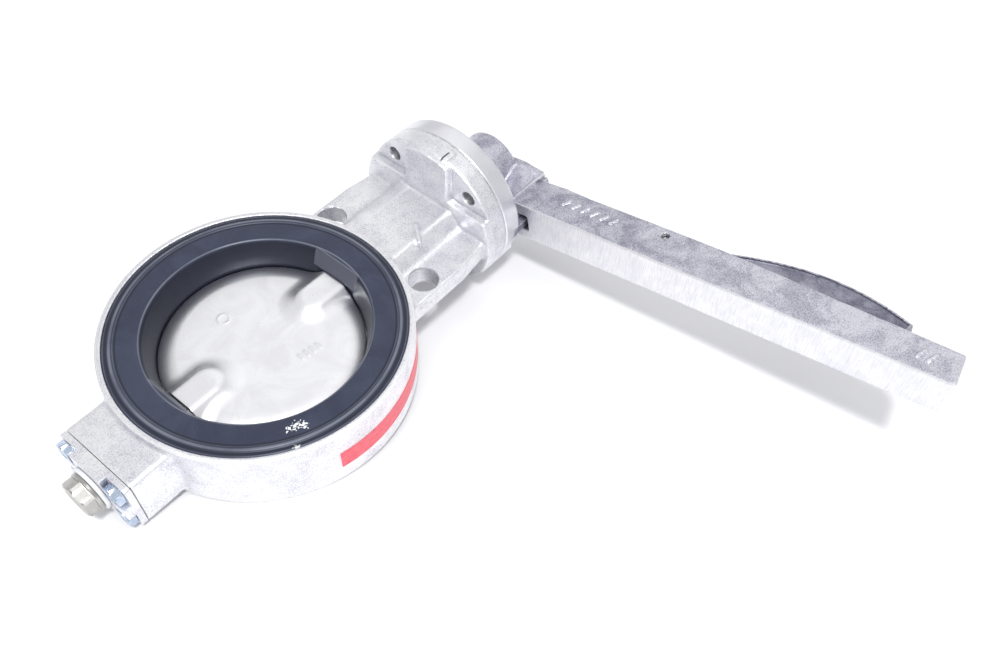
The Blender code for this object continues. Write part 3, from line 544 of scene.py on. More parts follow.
def ground_face(tree, where, cloud, edge_x):
    """The lever's ground inboard face: its mask, its bare colour, and a painted shade that darkens the arm
    towards its root and lightens it towards its tip.
    """
    lines = use_group(tree, BRUSH, Vector=where, Stretch=(1.0, 7.0, 0.5), Scale=230.0)
    axes = split_axes(tree, where)
    tip_y, root_y = float(ORIGIN[1]) - 0.33, float(ORIGIN[1]) - 0.06
    # Painted shade: darker towards the hub, lighter towards the tip
    tone = spread(tree, axes["Y"], tip_y, root_y, -0.22, 0.18)
    edge = float(ORIGIN[0]) + edge_x
    mask = spread(tree, axes["X"], edge, edge - 0.0003)
    bare = mixed(tree, lines["Mask"], (0.94, 0.94, 0.96), (0.76, 0.76, 0.8))
    bare = mixed(tree, times(tree, cloud, 0.35), bare, (0.66, 0.66, 0.72))
    return mask, bare, tone


def aluminium(name, light, dark, cover, grain=900.0, rough=(0.32, 0.5), relief=0.25, mottle=30.0,
              stain=0.35, bright=(0.93, 0.93, 0.95), speck_share=0.6, ground_x=None, slot=False):
    """Cast aluminium: speckled grain over cloudy stains, bright worn edges, and painted shade darkening its
    corners.
    """
    made, tree, shader, where = finish_base(name, 1.0, 0.4)
    speck = use_group(tree, GRAIN, Vector=where, Scale=grain, Cover=cover)
    cloud = use_group(tree, MOTTLE, Vector=where, Scale=mottle)["Mask"]
    edges_and_corners = use_group(tree, EDGES_AND_CORNERS, Vector=where)
    specks = times(tree, speck["Speckle"], speck_share)
    factor = maths(tree, "ADD", specks, times(tree, cloud, stain), clamp=True)
    if ground_x is None:
        colour = mixed(tree, factor, light, dark)
    else:
        ground, bare, tone = ground_face(tree, where, cloud, ground_x)
        # The root-to-tip painted shade darkens the lever's cast colour near the hub
        colour = mixed(tree, maths(tree, "ADD", factor, tone, clamp=True), light, dark)
        colour = mixed(tree, ground, colour, bare)
        factor = times(tree, factor, maths(tree, "SUBTRACT", 1.0, times(tree, ground, 0.6)))
    if slot:
        # Painted shade: a dark line where the flange's rim has a slot
        mark = use_group(tree, SLOT_SHADE, Vector=where)["Mask"]
        colour = mixed(tree, mark, colour, (0.12, 0.12, 0.15))
    colour = mixed(tree, times(tree, edges_and_corners["Edge"], 0.7), colour, bright)
    # Painted shade: concave corners and creases darkened past the dark tone
    colour = mixed(tree, times(tree, edges_and_corners["Corner Shade"], 0.5), colour, tuple(0.75 * c for c in dark))
    tree.links.new(colour, shader.inputs["Base Color"])
    tree.links.new(spread(tree, factor, 0.0, 1.0, *rough), shader.inputs["Roughness"])
    bump(tree, shader, speck["Height"], relief, 0.0006)
    return made


def machined(name, light, dark, stretch, rough=(0.22, 0.36)):
    """Ground or turned metal: straight marks with faint stains."""
    made, tree, shader, where = finish_base(name, 1.0, 0.3)
    lines = use_group(tree, BRUSH, Vector=where, Stretch=stretch, Scale=420.0)
    cloud = use_group(tree, MOTTLE, Vector=where, Scale=45.0)["Mask"]
    factor = maths(tree, "ADD", times(tree, lines["Mask"], 0.6), times(tree, cloud, 0.4))
    tree.links.new(mixed(tree, factor, light, dark), shader.inputs["Base Color"])
    tree.links.new(spread(tree, factor, 0.0, 1.0, *rough), shader.inputs["Roughness"])
    bump(tree, shader, lines["Height"], 0.08, 0.0004)
    return made


def chalk_flakes(tree, where, colour, spot, reach):
    """A patch of white flakes about a point of the seat's upper face, thicker towards its middle."""
    centre = tuple(np.array((*spot, FACE_Z)) * MM + ORIGIN)
    away = vector_maths(tree, "DISTANCE", where, centre)["Value"]
    near = spread(tree, away, reach * MM, reach * 0.2 * MM, 0.0, 0.24)
    white = spread(tree, maths(tree, "ADD", noise(tree, where, 700.0, 3.0), near), 0.68, 0.72)
    inside = spread(tree, away, reach * MM, reach * 0.9 * MM)
    return mixed(tree, times(tree, white, inside), colour, (0.85, 0.86, 0.88))


def moulded(name, light, dark, rough, grain=1400.0, dust=None, chalk=(), tint=None, sheen_colour=None):
    """Moulded rubber or plastic: faint grain and cloudy tone.

    Where dust, chalk or a sheen colour is given, it also has dust specks, white
    flakes, or the seat's painted highlight lines and edges, painted shade in its
    grooves and throat, and a painted reflection on its pads.
    """
    made, tree, shader, where = finish_base(name, 0.0, 0.5)
    speck = use_group(tree, GRAIN, Vector=where, Scale=grain, Cover=0.5)
    cloud = use_group(tree, MOTTLE, Vector=where, Scale=22.0)["Mask"]
    colour = mixed(tree, cloud, light, dark)
    if dust is not None:
        spots = times(tree, spread(tree, noise(tree, where, 2600.0, 1.0), 0.74, 0.78), 0.6)
        colour = mixed(tree, spots, colour, dust)
    for spot, reach in chalk:
        colour = chalk_flakes(tree, where, colour, spot, reach)
    if sheen_colour is not None:
        sheen = use_group(tree, SHEEN, Vector=where)
        pad_reflection_mask = use_group(tree, PAD_REFLECTION, Vector=where)["Mask"]
        edge = use_group(tree, EDGES_AND_CORNERS, Vector=where, Break=0.01)["Edge"]
        # Painted shade darkens the grooves beside the bead and the throat's wall
        colour = mixed(tree, times(tree, sheen["Dark"], 0.75), colour, (0.006, 0.007, 0.012))
        # Painted reflection lightens the sloping pads by the stem holes
        colour = mixed(tree, pad_reflection_mask, colour, (0.09, 0.094, 0.125))
        # Painted highlight lines on the mouth edge, bead and lip
        colour = mixed(tree, times(tree, sheen["Light"], 0.7), colour, sheen_colour)
        # Painted highlights on the seat's convex edges
        colour = mixed(tree, times(tree, edge, 0.6), colour, sheen_colour)
    if tint is not None:
        shader.inputs["Specular Tint"].default_value = (*tint, 1.0)
    tree.links.new(colour, shader.inputs["Base Color"])
    tree.links.new(spread(tree, speck["Height"], 0.2, 0.8, *rough), shader.inputs["Roughness"])
    bump(tree, shader, speck["Height"], 0.1, 0.0002)
    return made


FACE_Z = 25.5           # half the width between the ring's two faces
cast = aluminium("cast_aluminium", (0.95, 0.95, 0.965), (0.5, 0.5, 0.58), 0.53, grain=1500.0,
                 relief=0.5, stain=0.2, speck_share=0.7, slot=True)
lever_cast = aluminium("lever_casting", (0.78, 0.78, 0.85), (0.3, 0.3, 0.38), 0.55, grain=1100.0,
                       mottle=42.0, stain=0.55, relief=0.6, speck_share=0.55, ground_x=0.2109)
# The grip's darker colour is painted shade, for the shadow it sits in under the arm's edge
grip_shaded_cast = aluminium("grip_casting_shaded", (0.42, 0.42, 0.5), (0.17, 0.17, 0.23), 0.5, grain=1000.0,
                      mottle=60.0, stain=0.7, relief=0.5, speck_share=0.5, bright=(0.6, 0.6, 0.68))
plate_cast = aluminium("turned_aluminium", (0.84, 0.84, 0.87), (0.52, 0.51, 0.58), 0.36, grain=1100.0,
                       stain=0.3, relief=0.12)
disc_cast = aluminium("disc_aluminium", (0.94, 0.94, 0.955), (0.62, 0.61, 0.67), 0.38, grain=800.0,
                      mottle=26.0, stain=0.3, relief=0.15, rough=(0.36, 0.5))
stainless = machined("stainless_steel", (0.6, 0.59, 0.57), (0.34, 0.33, 0.31), (1.0, 8.0, 8.0))
zinc = machined("blue_zinc", (0.66, 0.74, 0.86), (0.3, 0.38, 0.52), (1.0, 3.0, 3.0), rough=(0.12, 0.24))
bronze = machined("bush_bronze", (0.62, 0.46, 0.26), (0.38, 0.27, 0.14), (1.0, 6.0, 6.0))
CHALK = (((-37.0, -75.5), 5.5), ((-33.5, -78.5), 4.5), ((-42.0, -74.0), 3.5), ((-47.0, -86.5), 4.0))
# The seat's last colour is the painted highlight on its lines and edges
rubber = moulded("black_rubber", (0.023, 0.027, 0.052), (0.037, 0.043, 0.075), (0.3, 0.44),
                 dust=(0.3, 0.32, 0.38), chalk=CHALK, tint=(0.8, 0.86, 1.0), sheen_colour=(0.2, 0.21, 0.25))
nylon = moulded("white_nylon", (0.84, 0.85, 0.86), (0.76, 0.77, 0.8), (0.35, 0.5), grain=900.0)


# ---------------------------------------------------------------- body casting

def on_circle(radius, degrees):
    """A point on a circle about the axis."""
    return radius * math.cos(math.radians(degrees)), radius * math.sin(math.radians(degrees))


def field_piece(name, field, low, high, step, material, body, slot, node, to_valve=None):
    """The skin of a field, placed on its body."""
    points, quads = level_skin(field, low, high, step)
    place(new_piece(name, points, quads, material, to_valve=to_valve), body, slot, node)


SIGNS = [(first, second) for first in (1, -1) for second in (1, -1)]
RING_R, FLANGE_R = 103.5, 61.5          # outer radii of the ring and of the top flange
HUB_HALF_Y, HUB_HALF_Z = 31.5, 21.5     # half the lower hub's two widths
HUB_END, FLANGE_END = -127.5, 185.7     # how far the casting reaches along the stem
STEM_BORE_R = 11.6
EYES = [on_circle(120.0, 22.5), on_circle(120.0, -22.5)]
FLANGE_HOLES = [(sy * 36.06, sz * 36.06) for sy, sz in SIGNS]


def housing_field(x, y, z):
    """The stem housing: a bar with sloping sides under a flat top."""
    flank = ((np.abs(y) - 24.0) * 13.0 + (np.abs(z) - 20.0) * 10.0) / math.hypot(13.0, 10.0)
    return meet(meet(np.abs(z) - 20.0, flank, 1.6), slab(x, 80.0, 173.0))


def flange_field(x, y, z):
    """The round flange, with a raised cross on its back."""
    round_edge = drum(y, z, FLANGE_R)
    disc = meet(round_edge, slab(x, 171.0, FLANGE_END), 1.0)
    arms = merge(np.abs(y) - 20.0, np.abs(z) - 26.0, 5.0)
    cross = meet(meet(arms, drum(y, z, 61.1), 1.0), slab(x, 165.0, 174.0), 1.0)
    return meet(merge(disc, cross, 1.2), round_edge, 0.4)


def casting_field(x, y, z):
    """Ring, hub, wings, stem housing and flange joined with fillets, less its bores and holes."""
    radius = np.hypot(x, y)
    ring = meet(radius - RING_R, np.abs(z) - FACE_Z, 1.1)
    hub = meet(plate(y, z, HUB_HALF_Y, HUB_HALF_Z, 3.0), slab(x, HUB_END, -70.0), 0.8)
    wing_half = 59.5 - 4.0 * np.clip((x - 140.0) / 32.0, 0.0, 1.0)
    wing = meet(meet(np.abs(y) - wing_half, np.abs(z) - 8.0, 1.6), slab(x, 60.0, 173.0))
    neck = merge(wing, housing_field(x, y, z), 3.0)
    low_panel = 0.5 * smooth_step(x, 107.4, 108.2) * smooth_step(np.abs(y + 2.0), 19.0, 17.0)
    neck = meet(neck, np.abs(z) - 20.0 + low_panel, 0.4)
    body = merge(merge(ring, hub, 3.0), neck, 3.0)
    body = merge(body, flange_field(x, y, z), 2.2)
    rib_line = capsule(x, y, (127.0, -28.0), (138.0, -14.0), 0.0)
    rib = np.hypot(rib_line, np.maximum(np.abs(z) - 19.8, 0.0)) - 1.3
    body = merge(body, rib, 1.2)
    lug = meet(plate(x - 176.0, y + 9.0, 5.5, 7.0, 1.0), slab(z, 40.0, 61.2), 0.8)
    body = merge(body, lug, 1.0)
    for eye in EYES:
        body = less(body, drum(x, y, 10.8, eye), 0.6)
    for hole in FLANGE_HOLES:
        body = less(body, meet(drum(y, z, 5.6, hole), 150.0 - x), 0.5)
    body = less(body, drum(y, z, STEM_BORE_R))
    body = less(body, meet(drum(y, z, 15.0), 174.0 - x), 0.3)
    pocket = np.minimum(radius - 82.3, meet(radius - 100.7, 21.4 - np.abs(z)))
    return less(body, pocket, 0.7)


field_piece("valve_casting", casting_field, (HUB_END, -RING_R, -FLANGE_R), (FLANGE_END, RING_R, FLANGE_R),
            1.4, cast, "body", "cast_aluminium", "body_casting")


def make_rim(name, way):
    """The turned lip of the ring's pocket on one face: a closed loop carried round the bore."""
    loop = np.array(((99.5, 21.5), (99.5, 25.0), (99.7, 25.4), (100.1, 25.58), (101.6, 25.58),
                     (102.1, 25.4), (102.1, 21.5)))
    loop[:, 1] *= way
    points, quads = ring_round(loop, 288)
    piece = new_piece(name, points, quads[:, ::-1] if way > 0 else quads, cast, sharp=50.0)
    place(piece, "body", "cast_aluminium", "body_casting")


make_rim("upper_pocket_lip", 1.0)
make_rim("lower_pocket_lip", -1.0)


# ---------------------------------------------------------------- rubber seat

def liner_half():
    """Throat, mouth, face, bead and outer lip of the seat, from the middle out."""
    return rounded([(70.0, 0.0), (70.0, 6.0), (70.7, 9.0), (71.4, 12.0), (72.2, 15.0), (73.0, 18.0),
                    (73.8, 20.5), (74.6, 23.0), (76.0, 25.1), (78.4, 25.65), (89.8, 25.4), (91.2, 25.3),
                    (92.3, 26.0), (94.6, 26.0), (95.7, 25.1), (96.7, 24.9), (98.5, 25.0), (99.2, 24.4),
                    (99.2, 21.7), (82.0, 21.7)], 1.0)


def make_seat():
    """The seat's loop carried round the bore, its inside held flat at the two stem holes.

    At angle a a radius is at most the pad's distance over the cosine of a,
    and the pad's distance grows towards both faces.
    """
    half = liner_half()
    loop = np.array([*half, *[(r, -h) for r, h in reversed(half[1:])]])
    steps = 288
    angle = 2.0 * np.pi * np.arange(steps) / steps
    radius = loop[:, :1] * np.ones(steps)
    height = loop[:, 1:] * np.ones(steps)
    pad = 68.5 + 4.4 * np.clip((np.abs(height) - 12.0) / 12.0, 0.0, 1.1)
    side = radius * np.abs(np.sin(angle))
    flat = pad / np.maximum(np.abs(np.cos(angle)), 0.05)
    held = (side < 30.0) & (radius < 77.0) & (np.abs(height) < 25.2)
    cut = held & (flat < radius)
    points = polar_points(np.where(cut, flat, radius), height, angle).reshape(-1, 3)
    quads = grid_quads(len(loop), steps, close_rows=True)
    piece = new_piece("rubber_seat", points, quads[:, ::-1], rubber, sharp=32.0)
    crease_pad(piece.data, cut.reshape(-1) & (np.abs(points[:, 2]) > 11.0))
    return piece


def crease_pad(mesh, on_pad):
    """Keep the pad's slight edges crisp: sharp where the skin turns over seven degrees at a pad point."""
    def flags():
        """Which edges are sharp now."""
        found = np.zeros(len(mesh.edges), bool)
        mesh.attributes["sharp_edge"].data.foreach_get("value", found)
        return found

    strong = flags()
    mesh.set_sharp_from_angle(angle=math.radians(7.0))
    ends = np.zeros(len(mesh.edges) * 2, np.int32)
    mesh.edges.foreach_get("vertices", ends)
    near = on_pad[ends].reshape(-1, 2).any(axis=1)
    mesh.attributes["sharp_edge"].data.foreach_set("value", strong | (flags() & near))


place(make_seat(), "body", "black_rubber", "seat_liner")


# ---------------------------------------------------------------- disc

DISC_R, BOSS_TOP = 69.6, 13.0


def boss_field(x, y, z):
    """One boss on each side of each end: a U that narrows from its foot to a flat top."""
    up = np.abs(z) - 6.0
    centre = 42.0 + 5.5 * up / 7.0
    radius = 17.0 - 7.5 * up / 7.0
    side = np.hypot(np.maximum(centre - np.abs(x), 0.0), y) - radius
    return meet(meet(side * 0.68, np.abs(z) - BOSS_TOP, 1.6), np.abs(x) - 67.9, 0.9)


def disc_field(x, y, z):
    """A flat disc with a bevelled rim, its bosses blended in, and a raised ring and four bars."""
    radius = np.hypot(x, y)
    bevel = ((radius - 62.5) * 3.4 + (np.abs(z) - 7.0) * 6.1) / math.hypot(3.4, 6.1)
    disc = meet(meet(np.abs(z) - 7.0, bevel, 3.0), radius - DISC_R, 0.6)
    disc = merge(disc, boss_field(x, y, z), 4.0)
    disc = meet(disc, radius - DISC_R + 0.1, 0.4)
    raised = slab(z, 5.0, 7.6)
    from_ring = np.hypot(x + 4.0, y - 34.0)
    mark = meet(np.maximum(from_ring - 4.6, 3.4 - from_ring), raised, 0.2)
    for k in range(4):
        bar = plate(x - 22.0 + 4.6 * k, y + 31.0 - 0.6 * k, 1.0, 3.4, 0.5)
        mark = np.minimum(mark, meet(bar, raised, 0.2))
    return np.minimum(disc, mark)


field_piece("valve_disc", disc_field, (-DISC_R, -DISC_R, -BOSS_TOP), (DISC_R, DISC_R, BOSS_TOP),
            0.93, disc_cast, "stem", "cast_aluminium", "disc")


# ---------------------------------------------------------------- bottom cover

COVER_FRONT, COVER_BACK = -137.4, -127.8
BOLT_Y, BOLT_Z, BOLT_HOLE_R = 22.8, 13.4, 4.3


def cover_field(x, y, z):
    """A plate with a pocket at each corner, a bore for the stem and four bolt holes."""
    cover = meet(plate(y, z, HUB_HALF_Y, HUB_HALF_Z, 3.0), slab(x, COVER_FRONT, COVER_BACK), 0.5)
    pocket = meet(meet(14.5 - np.abs(y), 5.4 - np.abs(z), 2.0), x - COVER_FRONT - 5.2)
    cover = less(cover, pocket, 0.3)
    cover = less(cover, drum(y, z, 9.3), 0.3)
    return less(cover, drum(np.abs(y), np.abs(z), BOLT_HOLE_R, (BOLT_Y, BOLT_Z)))


field_piece("end_cover", cover_field, (COVER_FRONT, -HUB_HALF_Y, -HUB_HALF_Z),
            (COVER_BACK, HUB_HALF_Y, HUB_HALF_Z), 0.6, cast, "body", "cast_aluminium", "bottom_cover")


# ---------------------------------------------------------------- notch plate

PLATE_BACK, PLATE_FRONT = 186.0, 201.0
PLATE_SCREWS = [on_circle(42.0, turn) for turn in (65.0, 155.0, 335.0)]


def from_notch(y, z, number):
    """Distances along and across the line of one of the notches, which are 15 degrees apart."""
    angle = math.pi + math.radians(3.1 + 15.0 * number)
    return y * math.cos(angle) + z * math.sin(angle), z * math.cos(angle) - y * math.sin(angle)


def notch_plate_field(x, y, z):
    """A turned plate with seven radial notches, three sunk screw seats and a bore."""
    disc = meet(drum(y, z, FLANGE_R), slab(x, PLATE_BACK, PLATE_FRONT), 1.2)
    disc = less(disc, drum(y, z, 9.4), 0.5)
    for number in range(7):
        along, across = from_notch(y, z, number)
        notch = meet(meet(np.abs(across) - 4.6, 47.0 - along, 1.5), 195.5 - x, 0.8)
        disc = less(disc, notch, 0.5)
    for centre in PLATE_SCREWS:
        disc = less(disc, meet(drum(y, z, 9.0, centre), 195.0 - x), 0.4)
        disc = less(disc, drum(y, z, BOLT_HOLE_R, centre))
    return disc


field_piece("index_plate", notch_plate_field, (PLATE_BACK, -FLANGE_R, -FLANGE_R),
            (PLATE_FRONT, FLANGE_R, FLANGE_R), 0.95, plate_cast, "body", "cast_aluminium", "notch_plate")


# ---------------------------------------------------------------- lever

ARM_TOP, ARM_ROOT, ARM_TIP, ARM_BACK = 1.7, 46.0, 382.0, 209.7
PIN_S, PIN_X = 167.8, 235.9
EDGE_S = np.array((46.0, 50.0, 56.0, 68.0, 96.0, 210.0, 378.0, 400.0))
EDGE_X = np.array((254.0, 252.8, 250.4, 247.7, 245.0, 243.8, 236.5, 235.5))


def stem_axes(s, n):
    """The valve's y and z of a place in the lever's frame."""
    return -s * COS_L + n * SIN_L, s * SIN_L + n * COS_L


def arm_field(s, x, n):
    """The arm's outline between its top and its sloping lower face, hollowed from outboard."""
    low = ARM_TOP - 32.0 + 3.8 * (s - ARM_ROOT) / (ARM_TIP - ARM_ROOT)
    edge = np.interp(s, EDGE_S, EDGE_X)
    lean = 5.8 * np.clip((ARM_TOP - n) / 30.0, 0.0, 1.0)
    tip = s - ARM_TIP + lean + 4.0 * np.clip((x - ARM_BACK) / 27.0, 0.0, 1.0)
    height = meet(n - ARM_TOP, low - n, 1.2)
    width = meet(ARM_BACK - x, x - edge, 1.2)
    arm = meet(meet(height, width, 1.3), meet(ARM_ROOT - s, tip, 1.0), 2.0)
    wall = 3.8
    across = meet(n - ARM_TOP + wall, low + wall - n, 2.0)
    length = meet(ARM_ROOT + wall - s, s - 367.0, 2.0)
    hollow = meet(across, meet(ARM_BACK + wall - x, length, 2.0), 2.0)
    arm = less(arm, hollow, 0.8)
    fade = np.clip((200.0 - s) / 150.0, 0.0, 1.1)
    band = (n - ARM_TOP) + 0.28 * (x - 243.8 + 10.0 * fade) + 0.02
    return meet(arm, np.where(fade > 0.0, band, -5.0), 0.6)


def raised_bars(s, x, n):
    """A short row of slanting raised bars on the arm's top, and two near its tip."""
    half_height = 0.45
    bars = np.full(np.shape(s), 9.0)
    for count, first, pitch, low, high, slant in ((6, 84.0, 8.5, 226.5, 232.5, 3.0),
                                                  (2, 354.0, 7.0, 220.0, 227.0, 2.5)):
        for k in range(count):
            start = first + pitch * k
            bars = np.minimum(bars, capsule(s, x, (start, low), (start + slant, high), 0.9))
    from_top = np.maximum(np.abs(n - ARM_TOP) - half_height, 0.0)
    return np.hypot(np.maximum(bars, 0.0), from_top) - half_height


def lever_field(s, x, n):
    """Arm, hub, web and curved wall blended together, less the square, the window and the pin's hole."""
    y, z = stem_axes(s, n)
    hub = meet(drum(s, n, 26.0), slab(x, 203.5, 245.0), 1.8)
    outer = 244.5 + 6.5 * np.clip((s - 16.0) / 31.0, 0.0, 1.0)
    crest = np.interp(s, (14.0, 20.0, 30.0, 39.5, 48.0, 60.0), (5.8, 6.8, 6.6, 4.5, 2.0, 0.0))
    web_top = crest + 0.1 - (crest + 5.0) * (1.0 - smooth_step(x, 206.0, 247.0))
    web = meet(meet(np.maximum(-25.0 - n, n - web_top), 6.0 - s, 0.5),
               meet(206.0 + 4.2 * s / 47.0 - x, x - outer, 1.0), 1.5)
    web = meet(web, s - 47.5)
    wall = meet(meet(n - crest, -24.0 - n, 1.0), meet(slab(x, 244.5, 251.0), slab(s, 14.9, 47.5), 1.0), 1.5)
    lever = merge(merge(hub, web, 2.5), wall, 2.0)
    lever = merge(lever, arm_field(s, x, n), 1.0)
    bead = meet(drum(s, n, 1.5, (47.6, ARM_TOP - 0.2)), slab(x, 211.0, 250.0), 1.0)
    lever = merge(lever, bead, 0.8)
    window = meet(meet(slab(s, 48.6, 61.8), slab(n, -21.5, -8.0), 1.0), slab(x, 200.0, 214.5))
    lever = less(lever, window, 0.4)
    lever = less(lever, meet(np.abs(y), np.abs(z)) - 7.3, 0.3)
    lever = less(lever, drum(s, x, 3.05, (PIN_S, PIN_X)), 0.3)
    return np.minimum(lever, raised_bars(s, x, n))


field_piece("hand_lever", lever_field, (-26.0, 203.5, -32.0), (ARM_TIP, 254.0, 26.0), 1.15, lever_cast,
            "stem", "lever_casting", "lever", to_valve=LEVER_TO_VALVE)


# ---------------------------------------------------------------- trigger

GRIP = ((198.0, 243.4), (240.0, 260.0), (285.0, 272.0), (341.0, 249.0))


def grip_curve(steps):
    """The grip's outer edge: a cubic Bezier curve on its four control points."""
    t = np.linspace(0.0, 1.0, steps)[:, None]
    p = np.array(GRIP)
    return (1 - t) ** 3 * p[0] + 3 * t * (1 - t) ** 2 * p[1] + 3 * t ** 2 * (1 - t) * p[2] + t ** 3 * p[3]


def trigger_outline():
    """Grip, eye and latch arm seen across the lever."""
    turn = np.radians(np.linspace(60.0, 120.0, 7))
    eye_r = 7.5
    eye = np.stack([PIN_S + eye_r * np.cos(turn), PIN_X + eye_r * np.sin(turn)], axis=1)
    back = np.array(((51.4, 235.0), (51.4, 228.0), (157.8, 228.4), (175.8, 227.9), (339.0, 232.9)))
    return np.concatenate([grip_curve(24)[::-1], eye, back])


def trigger_field(s, x, n):
    """The outline as a thick plate with round edges, dished underneath, plus the latch tooth."""
    outline = polygon(s, x, trigger_outline())
    bar = meet(outline, np.abs(n + 12.35) - 9.15, 2.0)
    along, across = from_notch(*stem_axes(s, n), 0)
    tooth = meet(meet(slab(along, 54.0, 61.0), np.abs(across) - 4.0, 0.8), slab(x, 196.1, 230.0), 0.8)
    bar = merge(bar, tooth, 1.5)
    bar = less(bar, drum(s, x, 2.85, (PIN_S, PIN_X)))
    bar = less(bar, meet(outline + 2.0, -5.4 - n, 1.2), 0.5)
    return less(bar, meet(drum(s, n, 6.2, (205.0, -12.5)), slab(x, 224.0, 236.0)))


field_piece("squeeze_trigger", trigger_field, (51.0, 196.1, -21.5), (341.0, 264.0, -3.2), 1.0, grip_shaded_cast,
            "trigger", "lever_casting", "trigger", to_valve=LEVER_TO_VALVE)


# ---------------------------------------------------------------- turned pieces and fasteners

def six_sided(flats, first_row):
    """Radius of a hexagonal bar at each angle, its end cut back to a circle.

    On two rows the radius is half the flats over the cosine of the angle to
    the nearest flat's middle. On the next row it is that, or a circle just
    wider than the flats where that is less.
    """
    def shape(radius, row, angle):
        """The radius of each row and angle."""
        turn = (angle + math.pi / 6.0) % (math.pi / 3.0) - math.pi / 6.0
        hexagon = flats / 2.0 / np.cos(turn)
        made = np.where((row == first_row) | (row == first_row + 1), hexagon, radius)
        return np.where(row == first_row + 2, np.minimum(hexagon, flats / 2.0 * 1.02), made)

    return shape


def hex_bolt(name, node, body, centre, seat, head, length, way):
    """A bolt along x: shank, underside, six-sided head with a chamfered end."""
    flats, radius, sunk = 13.0, 4.0, 0.25
    tip = length - radius * 0.15
    rows = [(0.0, length), (radius * 0.85, length), (radius, tip), (radius, 0.0), (flats / 2, 0.0),
            (flats / 2, -head + 0.9), (flats / 2, -head), (flats * 0.36, -head),
            (flats * 0.34, -head + sunk), (0.0, -head + sunk)]
    points, quads = carried_round(rows, 72, six_sided(flats, 4))
    points = points * np.array((1.0, 1.0, float(way)))
    if way > 0:
        quads = quads[:, ::-1]
    points = points @ ALONG_X.T + np.array((seat, *centre))
    place(new_piece(name, points, quads, zinc, sharp=28.0), body, "blue_zinc", node)


for number, (sy, sz) in enumerate(SIGNS, start=1):
    hex_bolt(f"cover_hex_bolt_{number}", f"cover_bolt_{number}", "body",
             (sy * BOLT_Y, sz * BOLT_Z), -132.5, 5.3, 24.0, 1)
for number, centre in enumerate(PLATE_SCREWS, start=1):
    hex_bolt(f"plate_hex_screw_{number}", f"plate_screw_{number}", "body", centre, 195.3, 5.3, 20.0, -1)
hex_bolt("lever_hex_screw", "lever_screw", "stem", (0.0, 0.0), 248.1, 5.5, 24.0, -1)


def ring_piece(name, node, body, slot, material, inner, outer, low, high):
    """A washer along x with softened edges."""
    edge = 0.4
    loop = [(inner, low + edge), (inner + edge, low), (outer - edge, low), (outer, low + edge),
            (outer, high - edge), (outer - edge, high), (inner + edge, high), (inner, high - edge)]
    points, quads = ring_round(loop, 120)
    place(new_piece(name, points @ ALONG_X.T, quads, material, sharp=50.0), body, slot, node)


ring_piece("cover_thrust_washer", "thrust_washer", "body", "white_nylon", nylon, 9.3, 16.0, -140.3, -137.7)
ring_piece("lever_flat_washer", "lever_washer", "stem", "blue_zinc", zinc, 4.3, 13.5, 245.3, 247.8)


def make_stub():
    """The lower stem, its collar and its six-sided end, as one profile carried round the stem axis."""
    rows = [(0.0, -60.0), (9.0, -60.0), (9.0, -140.6), (13.7, -140.6), (14.2, -141.1), (14.2, -142.6),
            (13.6, -143.2), (11.6, -143.2), (11.5, -143.2), (11.5, -149.7), (11.5, -150.8), (8.6, -150.8),
            (8.2, -150.55), (0.0, -150.55)]
    points, quads = carried_round(rows, 96, six_sided(23.0, 8))
    return new_piece("stub_stem", points @ ALONG_X.T, quads[:, ::-1], stainless, sharp=28.0)


place(make_stub(), "stem", "stainless_steel", "stub_shaft")


def make_pin():
    """The trigger's pin: a bar with domed ends."""
    rows = [(0.0, -29.2), (2.0, -29.1), (2.75, -28.6), (2.75, -1.4), (2.0, -0.9), (0.0, -0.8)]
    points, quads = carried_round(rows, 40)
    points = points + np.array((PIN_S, PIN_X, 0.0))
    return new_piece("trigger_hinge_pin", points, quads, stainless, sharp=50.0, to_valve=LEVER_TO_VALVE)


place(make_pin(), "stem", "stainless_steel", "trigger_pin")


# ---------------------------------------------------------------- tape

def tape_material():
    """Red film with a faint broken line along its middle."""
    made, tree, shader, where = finish_base("red_tape", 0.0, 0.4)
    axes = split_axes(tree, from_origin(tree, where))
    scuff = noise(tree, where, 260.0, 4.0)
    tone = mixed(tree, spread(tree, scuff, 0.3, 0.7), (0.74, 0.075, 0.11), (0.85, 0.14, 0.18))
    height = maths(tree, "ABSOLUTE", maths(tree, "ADD", axes["Z"], 0.0035))
    turn = maths(tree, "ARCTAN2", axes["Y"], axes["X"])
    line = times(tree, spread(tree, height, 0.0005, 0.0003), spread(tree, turn, -1.62, -1.6))
    broken = spread(tree, maths(tree, "SINE", times(tree, turn, 140.0)), -0.6, -0.4)
    line = times(tree, line, times(tree, broken, 0.5))
    tree.links.new(mixed(tree, line, tone, (0.45, 0.02, 0.04)), shader.inputs["Base Color"])
    tree.links.new(spread(tree, scuff, 0.3, 0.7, 0.32, 0.5), shader.inputs["Roughness"])
    bump(tree, shader, scuff, 0.08, 0.0002)
    return made


def make_tape():
    """A strip bent round the ring: each corner of its section carried over an angle, its ends closed."""
    steps = 90
    angle = np.radians(np.linspace(-105.0, -38.0, steps))
    inner, outer = RING_R + 0.06, RING_R + 0.3
    section = np.array(((inner, -11.6), (outer, -11.6), (outer, 4.7), (inner, 4.7)))
    points = polar_points(section[:, :1], section[:, 1:], angle).transpose(1, 0, 2).reshape(-1, 3)
    quads = grid_quads(steps, 4)[:, ::-1]
    ends = np.array(((0, 1, 2, 3), (3, 2, 1, 0))) + np.array(((0,), ((steps - 1) * 4,)))
    return new_piece("ring_tape", points, np.concatenate([quads, ends]), tape_material(), sharp=50.0)


place(make_tape(), "body", "red_tape", "marking_tape")


# ---------------------------------------------------------------- carried-over nodes

